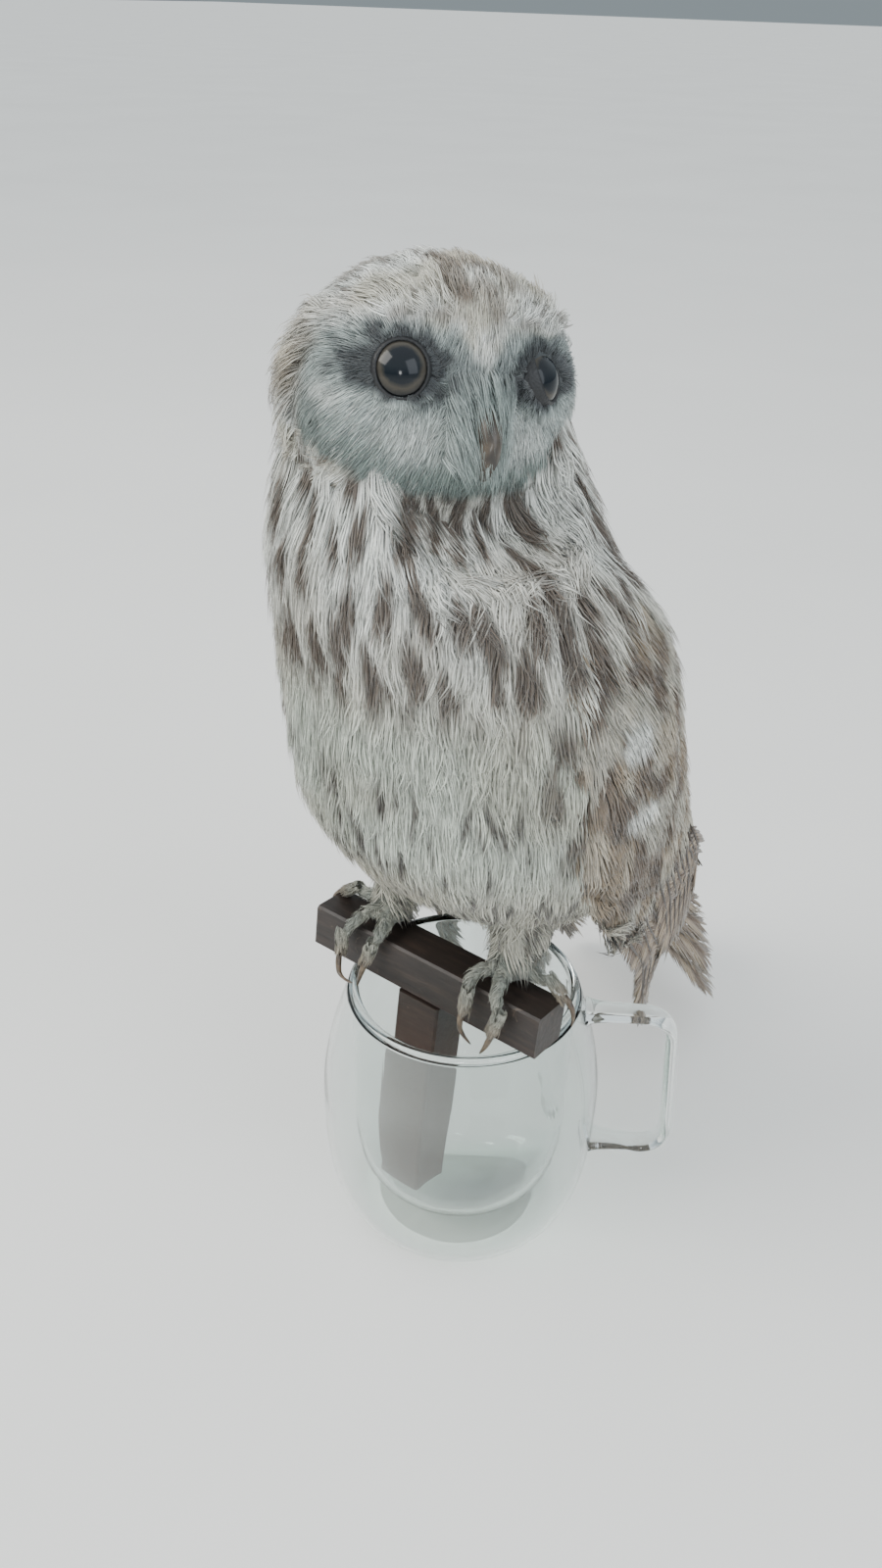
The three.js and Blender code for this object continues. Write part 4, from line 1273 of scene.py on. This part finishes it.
painted_glass, tree, surface = new_material(
    "painted_eye_glass", Roughness=0.12, IOR=1.45, Specular_IOR_Level=0.35)
off_gaze = add_node(tree, "ShaderNodeAttribute", attribute_name="off_gaze").outputs["Fac"]
fibres = noise(tree, object_coordinates(tree), 620.0, 3.0, Roughness=0.6)
uneven = add_node(tree, "ShaderNodeMath", {0: fibres, 1: 0.10, 2: -0.05}, operation="MULTIPLY_ADD")
from_gaze = add_node(tree, "ShaderNodeMath", {0: off_gaze, 1: uneven.outputs[0]}, operation="ADD")
pupil_edge = PUPIL_RADIUS / GAZE_SPAN
iris_edge = IRIS_RADIUS / GAZE_SPAN
iris = ramp(
    tree, from_gaze.outputs[0], (pupil_edge - 0.02, "#11171d"), (pupil_edge + 0.04, "#2e2d2a"),
    (0.57, "#3f3b34"), (0.61, "#3b3731"), (iris_edge + 0.01, "#292825"), (iris_edge + 0.06, "#101214"))
tree.links.new(iris, surface.inputs["Base Color"])
lashes = []
for side in ("left", "right"):
    turn = gaze_of(side).to_track_quat("Z", "Y").to_matrix().to_4x4()
    place = Matrix.Translation(eye_centre(side) - gaze_of(side) * EYE_SUNK[side] * MM) @ turn
    eye_mesh = eye_ball("glass_eye_" + side)
    eye_mesh.transform(place)
    piece("glass_eye_" + side, eye_mesh, painted_glass, "eye_glass", "eye_" + side)
    to_bill = unit(np.mean(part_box("bill"), axis=0) - np.array(eye_centre(side)))
    inward = place.to_3x3().inverted() @ Vector(to_bill)
    lid_mesh = lid_ring("lid_" + side, LID_SHUT[side], math.atan2(inward.y, inward.x))
    lid_mesh.transform(place)
    piece("lid_" + side, lid_mesh, lid_skin, "horn")
    angles = np.radians(random.uniform(*LASH_ANGLES, LASHES))
    turns = random.uniform(0, 2 * math.pi, LASHES)
    across = np.stack([np.cos(turns), np.sin(turns), 0 * turns], axis=1)
    axes = np.array(place.to_3x3()).T
    ball = (across * np.sin(angles)[:, None] + (0, 0, 1) * np.cos(angles)[:, None]) @ axes
    slope = (across * np.cos(angles)[:, None] - (0, 0, 1) * np.sin(angles)[:, None]) @ axes
    roots = np.array(place.translation) / MM + ball * (EYE_RADIUS + 0.3)
    inner = np.clip(slope @ to_bill, 0, 1)[:, None] * (1.6 if side == "left" else 0)
    run = unit(slope + (0.5 + inner) * ball + random.normal(size=ball.shape) * 0.12)
    reach = random.uniform(4, 6, LASHES) * (1.3 if side == "left" else 1)
    lashes.append(locks(
        roots, unwrap_near(roots), None, head_colour, length=reach, width=1.8, barbs=5, half_width=0.13,
        rise=0.6, path=standing(roots, run, reach, -1.6 * ball, ball), ragged=0.4, tone=0.12, wave=0.25))
coat_piece("lid_feathers", lashes, disc_hair, "plumage_pale")


# --------------------------------------------------------------------- bill and claws
# Horn over bone: a short hooked bill, mottled dark and grey-brown, and eight long curved
# claws of a paler and smoother brown.
def refined(node, name):
    """A CAD node's shape, welded and rounded."""
    return modified(finished(welded(node), name), ("SUBSURF", dict(levels=2, render_levels=2)))


def horn(name, dark, light, roughness, grain_size):
    """Horn, mottled between two browns in patches of a size in mm."""
    made, tree, surface = new_material(name, Roughness=roughness, Coat_Weight=0.15)
    growth = noise(tree, object_coordinates(tree), 1 / (grain_size * MM), 4.0)
    tree.links.new(ramp(tree, growth, (0.35, dark), (0.75, light)), surface.inputs["Base Color"])
    bumped(tree, surface, growth, 0.25, 0.0003)
    return made


piece("hooked_bill", refined("bill", "hooked_bill"),
      horn("bill_horn", "#2a2520", "#54493d", 0.42, 3.0), "horn", "bill")
claw_horn = horn("claw_horn", "#3a2f27", "#77654f", 0.35, 2.5)
for side in ("left", "right"):
    for toe in ("inner", "middle", "outer", "hind"):
        name = f"talon_{side}_{toe}"
        piece(name, refined(f"claw_{side}_{toe}", name), claw_horn, "horn", f"claw_{side}_{toe}")


# ------------------------------------------------------------------------ legs and toes
# Short hair-like feathers cover the legs and run down each toe, grey and a little green
# with age. At the toes' ends they are soiled brown and reach over the roots of the claws.
BALLS = {name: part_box(name) for name in ("foot_left", "foot_right")}
TUFTS_AT_CLAW = 75


def toe_flow(places, normals):
    """Out from the ball of the foot and down."""
    out = np.zeros_like(places)
    for low, high in BALLS.values():
        middle = np.array((low + high) / 2) / MM + np.array((0, 3, 8))
        near = np.exp(-((places[:, 0] - middle[0]) / 18) ** 2)[:, None]
        out += unit(places - middle) * near
    out[:, 2] -= 0.35
    return restless(tangent(out, normals), 0.12)


toe_down = feather_material("toe_down", 0.75, 1.0, 0.18)
toes = locks(
    *rooted(part_is("foot_left", "foot_right"), 1.25), toe_flow, foot_colour, length=5.6, width=1.9,
    barbs=5, half_width=0.17, rise=2.4, ragged=0.5, tone=0.22, wave=0.3, stiffness=0.45, curl=0.5, rings=3)
# Tufts at each toe's last joint run on over the root of its claw.
joints, bends = np.repeat(TOE_ENDS, TUFTS_AT_CLAW, axis=0).transpose(1, 0, 2)
ahead = unit(bends - joints)
aside = unit(np.cross(ahead, random.normal(size=ahead.shape)))
roots = joints + aside * 2.0 + ahead * random.uniform(-6, 2.5, (len(aside), 1))
run = unit(ahead + 0.05 * aside + random.normal(size=aside.shape) * 0.1)
reach = random.uniform(4, 6.5, len(aside))
toe_ends = locks(
    roots, unwrap_near(roots), None, foot_colour, length=reach, width=1.8, barbs=5, half_width=0.16,
    rise=0.6, path=standing(roots, run, reach, -1.0 * aside, aside), ragged=0.4, tone=0.2, wave=0.25)
shanks = locks(
    *rooted(part_is("leg_left", "leg_right"), 2.2), body_flow, foot_colour, length=10, width=3.5, barbs=6,
    half_width=0.28, rise=2.5, ragged=0.4, tone=0.15, wave=0.5)
coat_piece("leg_and_toe_down", [toes, toe_ends, shanks], toe_down, "foot_down")


# ------------------------------------------------------------------------------- wings
# Folded wings: soft brown and buff coverts over the long flight feathers, whose barbs
# leave a stiff shaft on both sides and part where they are worn.
def wing_flow(places, normals):
    """Down the folded wing and back."""
    run = np.tile(np.array((0, 0.42, -1.0)), (len(places), 1))
    return restless(tangent(run, normals), 0.13)


MID_X = -3.4
covert = feather_material("wing_covert", 0.6, 1.5, 0.16)
quill_keratin = feather_material("flight_feather", 0.55, 2.0, 0.12)
WING_EDGES = (  # height, then x and y of the left wing's leading and trailing edges, mm
    (64, 43, 54, 42, 66), (78, 43.5, 47, 42, 69), (96, 46, 35, 43.5, 70), (134, 51.5, 2, 45.5, 76),
    (160, 54, -14, 43.5, 68), (195, 53.5, -25, 32, 59), (228, 50.5, -31, 32, 49))


def wing_place(height, share):
    """A place inside the left wing's outline, from its leading to its trailing edge."""
    rows = np.array(WING_EDGES)
    values = [np.interp(height, rows[:, 0], rows[:, k]) for k in (1, 2, 3, 4)]
    lead, trail = np.array(values[:2]), np.array(values[2:])
    return np.array((*(lead + (trail - lead) * share), height))


def mirrored(points):
    """The same places on the other side of the body."""
    flipped = points.copy()
    flipped[..., 0] = 2 * MID_X - flipped[..., 0]
    return flipped


VANE_RINGS = 4
SHAFT_RINGS = 8


def vane(points, ups, widths, colour, unwrap_at, **look):
    """One quill feather along points (n, 3), as blades: a shaft, and barbs on both sides
    that reach two widths from it, in mm. look holds pitch (mm from barb to barb), bare
    (share of the shaft with no barbs), fray and ragged (how uneven the barbs are)."""
    pitch = look.get("pitch", 1.5)
    length = np.linalg.norm(np.diff(points, axis=0), axis=1).sum()
    count = int(length / pitch)
    bare = look.get("bare", 0.06)
    sides = np.repeat((1, -1), count)
    share = np.tile(np.linspace(bare, 1, count), 2) + random.uniform(-0.3, 0.3, 2 * count) / count
    path = np.broadcast_to(points, (2 * count, *points.shape))
    normals = np.broadcast_to(ups, path.shape)
    tips = np.clip(share, 0, 1)
    full = np.sin(math.pi * np.clip(0.5 + (tips - 0.5) * 0.55, 0, 1)) * np.minimum(1, tips * 6)
    full = full * (1 - 0.55 * ease(0.8, 1.0, tips))
    lean = np.radians(np.interp(tips, (0, 0.6, 1), (42, 30, 12)))
    lean = lean + random.normal(0, look.get("fray", 0.04), 2 * count)
    wide = np.where(sides > 0, widths[0], widths[1]) * full
    wide = wide * (1 - look.get("ragged", 0.08) * random.random(2 * count))
    reach = wide / np.maximum(np.sin(lean), 0.25)
    steps = np.linspace(0, 1, VANE_RINGS)
    root = along(path, tips[:, None])[:, 0]
    up = unit(along(normals, tips[:, None])[:, 0])
    ahead = heading(path, tips[:, None], 0.02)[:, 0]
    side = unit(np.cross(ahead, up)) * sides[:, None]
    run = ahead * np.cos(lean)[:, None] + side * np.sin(lean)[:, None]
    centre = root[:, None] + run[:, None] * (reach[:, None] * steps)[:, :, None]
    centre += ahead[:, None] * (0.12 * reach[:, None] * steps ** 2)[:, :, None]
    centre -= up[:, None] * (0.06 * reach[:, None] * steps ** 2)[:, :, None]
    across = unit(np.cross(run, up))
    shape = (2 * count, VANE_RINGS)
    half = pitch * 0.55 * np.interp(steps, (0, 0.4, 0.85, 1), (0.9, 1.0, 0.75, 0)) * np.ones(shape)
    repeated = (*shape, 3)
    corners, triangles = blades(
        centre, np.broadcast_to(across[:, None], repeated), np.broadcast_to(up[:, None], repeated), half,
        half * 0.3)
    offset = sides[:, None] * steps * wide[:, None] / max(widths)
    paint = colour(np.repeat(tips, VANE_RINGS), offset.ravel()).reshape(repeated)
    paint = paint * (1 + 0.10 * random.normal(size=(2 * count, 1, 1)))
    patch = np.stack([offset * PATCH / 2, (np.broadcast_to(tips[:, None], shape) - 0.5) * PATCH], 2)
    shaft_steps = np.linspace(0, 0.99, SHAFT_RINGS)[None]
    shaft = along(path[:1], shaft_steps)
    shaft_up = unit(along(normals[:1], shaft_steps))
    shaft_ahead = heading(path[:1], shaft_steps, 0.02)
    shaft_half = np.linspace(0.75, 0.2, SHAFT_RINGS)[None]
    shaft_corners, shaft_triangles = blades(
        shaft + shaft_up * 0.15, unit(np.cross(shaft_ahead, shaft_up)), shaft_up, shaft_half, shaft_half)
    shaft_paint = np.tile(DARK_BROWN, (1, SHAFT_RINGS, 1))
    shaft_patch = np.stack([shaft_steps * 0, (shaft_steps - 0.5) * PATCH], 2)
    colours = [per_corner(paint, VANE_RINGS), per_corner(shaft_paint, SHAFT_RINGS)]
    patches = [per_corner(patch, VANE_RINGS), per_corner(shaft_patch, SHAFT_RINGS)]
    return (
        np.concatenate([corners, shaft_corners]),
        np.concatenate([triangles, shaft_triangles + len(corners)]),
        np.clip(np.concatenate(colours), 0.003, 0.95), np.concatenate(patches) + unwrap_at)


def flight_colour(share, offset):
    """Brown with paler bars, and a pale edge to the inner vane."""
    bars = ease(-0.1, 0.25, np.sin(share * 2 * math.pi * 5.5 + 0.8 * np.sin(offset * 3)))
    colour = mixed(WING_BROWN, BUFF, bars * 0.45)
    colour = mixed(colour, DARK_BROWN, 0.45 * ease(0.75, 1.0, share))
    colour = mixed(colour, DARK_BROWN, 0.5 * np.exp(-(offset / 0.12) ** 2))
    return mixed(colour, CREAM, 0.45 * ease(0.7, 1.0, np.abs(offset)))


# each quill's base and tip as (height, share of the wing's depth), its layer, and how far
# its barbs reach from the shaft on the left wing's two sides, mm
PRIMARIES = [
    ((150, 0.12 + 0.05 * i), (66 + 6.5 * i, 0.25 + 0.09 * i), 0.25 * i, (5.5, 8.5)) for i in range(8)]
SECONDARIES = [
    ((158, 0.42 + 0.06 * i), (104 + 3.5 * i, 0.55 + 0.052 * i), 2.2 + 0.22 * i, (6, 8.5))
    for i in range(9)]
LAYER = 0.5  # mm
QUILL_POINTS = 9
for side in ("left", "right"):
    wing_shape = welded("wing_" + side)
    wing_tree = BVHTree.FromBMesh(wing_shape)
    wing_shape.free()
    outward = np.array((1.0, 0, 0)) if side == "left" else np.array((-1.0, 0, 0))
    quills = []
    for base, tip, layer, widths in PRIMARIES + SECONDARIES:
        guesses = []
        for t in np.linspace(0, 1, QUILL_POINTS):
            height = base[0] + (tip[0] - base[0]) * t
            place = wing_place(height, base[1] + (tip[1] - base[1]) * t)
            guesses.append(place if side == "left" else mirrored(place))
        guesses = np.array(guesses) + outward * 16
        found, normal, _ = nearest(wing_tree, guesses * MM)
        inside = np.interp(np.arange(QUILL_POINTS), (0, 3, 8), (4.5, 2.0, 1.6))[:, None]
        path = found / MM - normal * inside + outward * layer * LAYER
        widths = widths if side == "left" else widths[::-1]
        quills.append(vane(path, normal, widths, flight_colour, unwrap_near(path[:1])[0]))
    coat_piece(f"flight_feathers_{side}", quills, quill_keratin, "plumage_brown", "wing_" + side)
    outside = part_is("wing_" + side) & (outward[0] * triangle_cross[:, 0] > -1e-12)
    coverts = locks(
        *rooted(outside, 4.4), wing_flow, wing_colour, length=18, width=8, barbs=15, half_width=0.33,
        rise=4.6, ragged=0.35, tone=0.14, wave=0.5, stiffness=0.4, waist=(0.5, 0.6))
    coat_piece(f"wing_coverts_{side}", [coverts], covert, "plumage_brown")


# -------------------------------------------------------------------------------- tail
# Twelve tail feathers, spread like a fan and hung like a shallow roof from the rump, the
# outer ones shorter. Their ends are worn to points.
TAIL_BASE = np.array((MID_X, 38.0, 126.0))
TAIL_TIP = np.array((MID_X, 171.0, 54.5))
TAIL_HALF_WIDTH = 45
TAIL_DROOP = 77  # how far the outer feathers' ends hang below the middle ones', mm
TAIL_ROUNDING = 0.23  # how much shorter the outer feathers are, as a share
TAIL_FEATHERS = 12


def tail_point(down, across):
    """A place on the fan, in mm, at shares of the way down it and out to its side."""
    point = TAIL_BASE + (TAIL_TIP - TAIL_BASE) * down * (1 - TAIL_ROUNDING * across ** 2)
    point[0] += across * (13 + (TAIL_HALF_WIDTH - 13) * down ** 0.8)
    point[2] -= TAIL_DROOP * down ** 1.4 * across ** 2
    return point


def tail_colour(share, offset):
    """Brown and buff bars, darker along the shaft."""
    bars = ease(-0.2, 0.3, np.sin(share * 2 * math.pi * 4.5))
    colour = mixed(BUFF, WING_BROWN, 0.5 + bars * 0.45)
    colour = mixed(colour, DARK_BROWN, 0.4 * np.exp(-(offset / 0.1) ** 2))
    return mixed(colour, BUFF, 0.35 * ease(0.75, 1.0, np.abs(offset)))


tail_quills = []
for k in range(TAIL_FEATHERS):
    across = -0.88 + 1.76 * k / (TAIL_FEATHERS - 1)
    downs = np.linspace(0.02, 0.93 - 0.03 * random.random(), 10)
    path, over = (
        np.array([tail_point(down, across * (0.4 + 0.6 * down ** 0.5) + step) for down in downs])
        for step in (0, 0.02))
    ups = unit(np.cross(over - path, np.gradient(path, axis=0)))
    ups *= np.sign(ups[:, 2:3])
    layer = (1 - abs(across)) * 1.5
    inner = 10 + 9 * across ** 2
    outer = 7 if k in (0, TAIL_FEATHERS - 1) else inner
    widths = (outer, inner) if across > 0 else (inner, outer)
    tail_quills.append(vane(
        path + ups * layer, ups, widths, tail_colour, unwrap_near(path[:1])[0],
        pitch=1.2, fray=0.07, ragged=0.16, bare=0.02))
coat_piece("tail_feathers", tail_quills, quill_keratin, "plumage_brown", "tail")
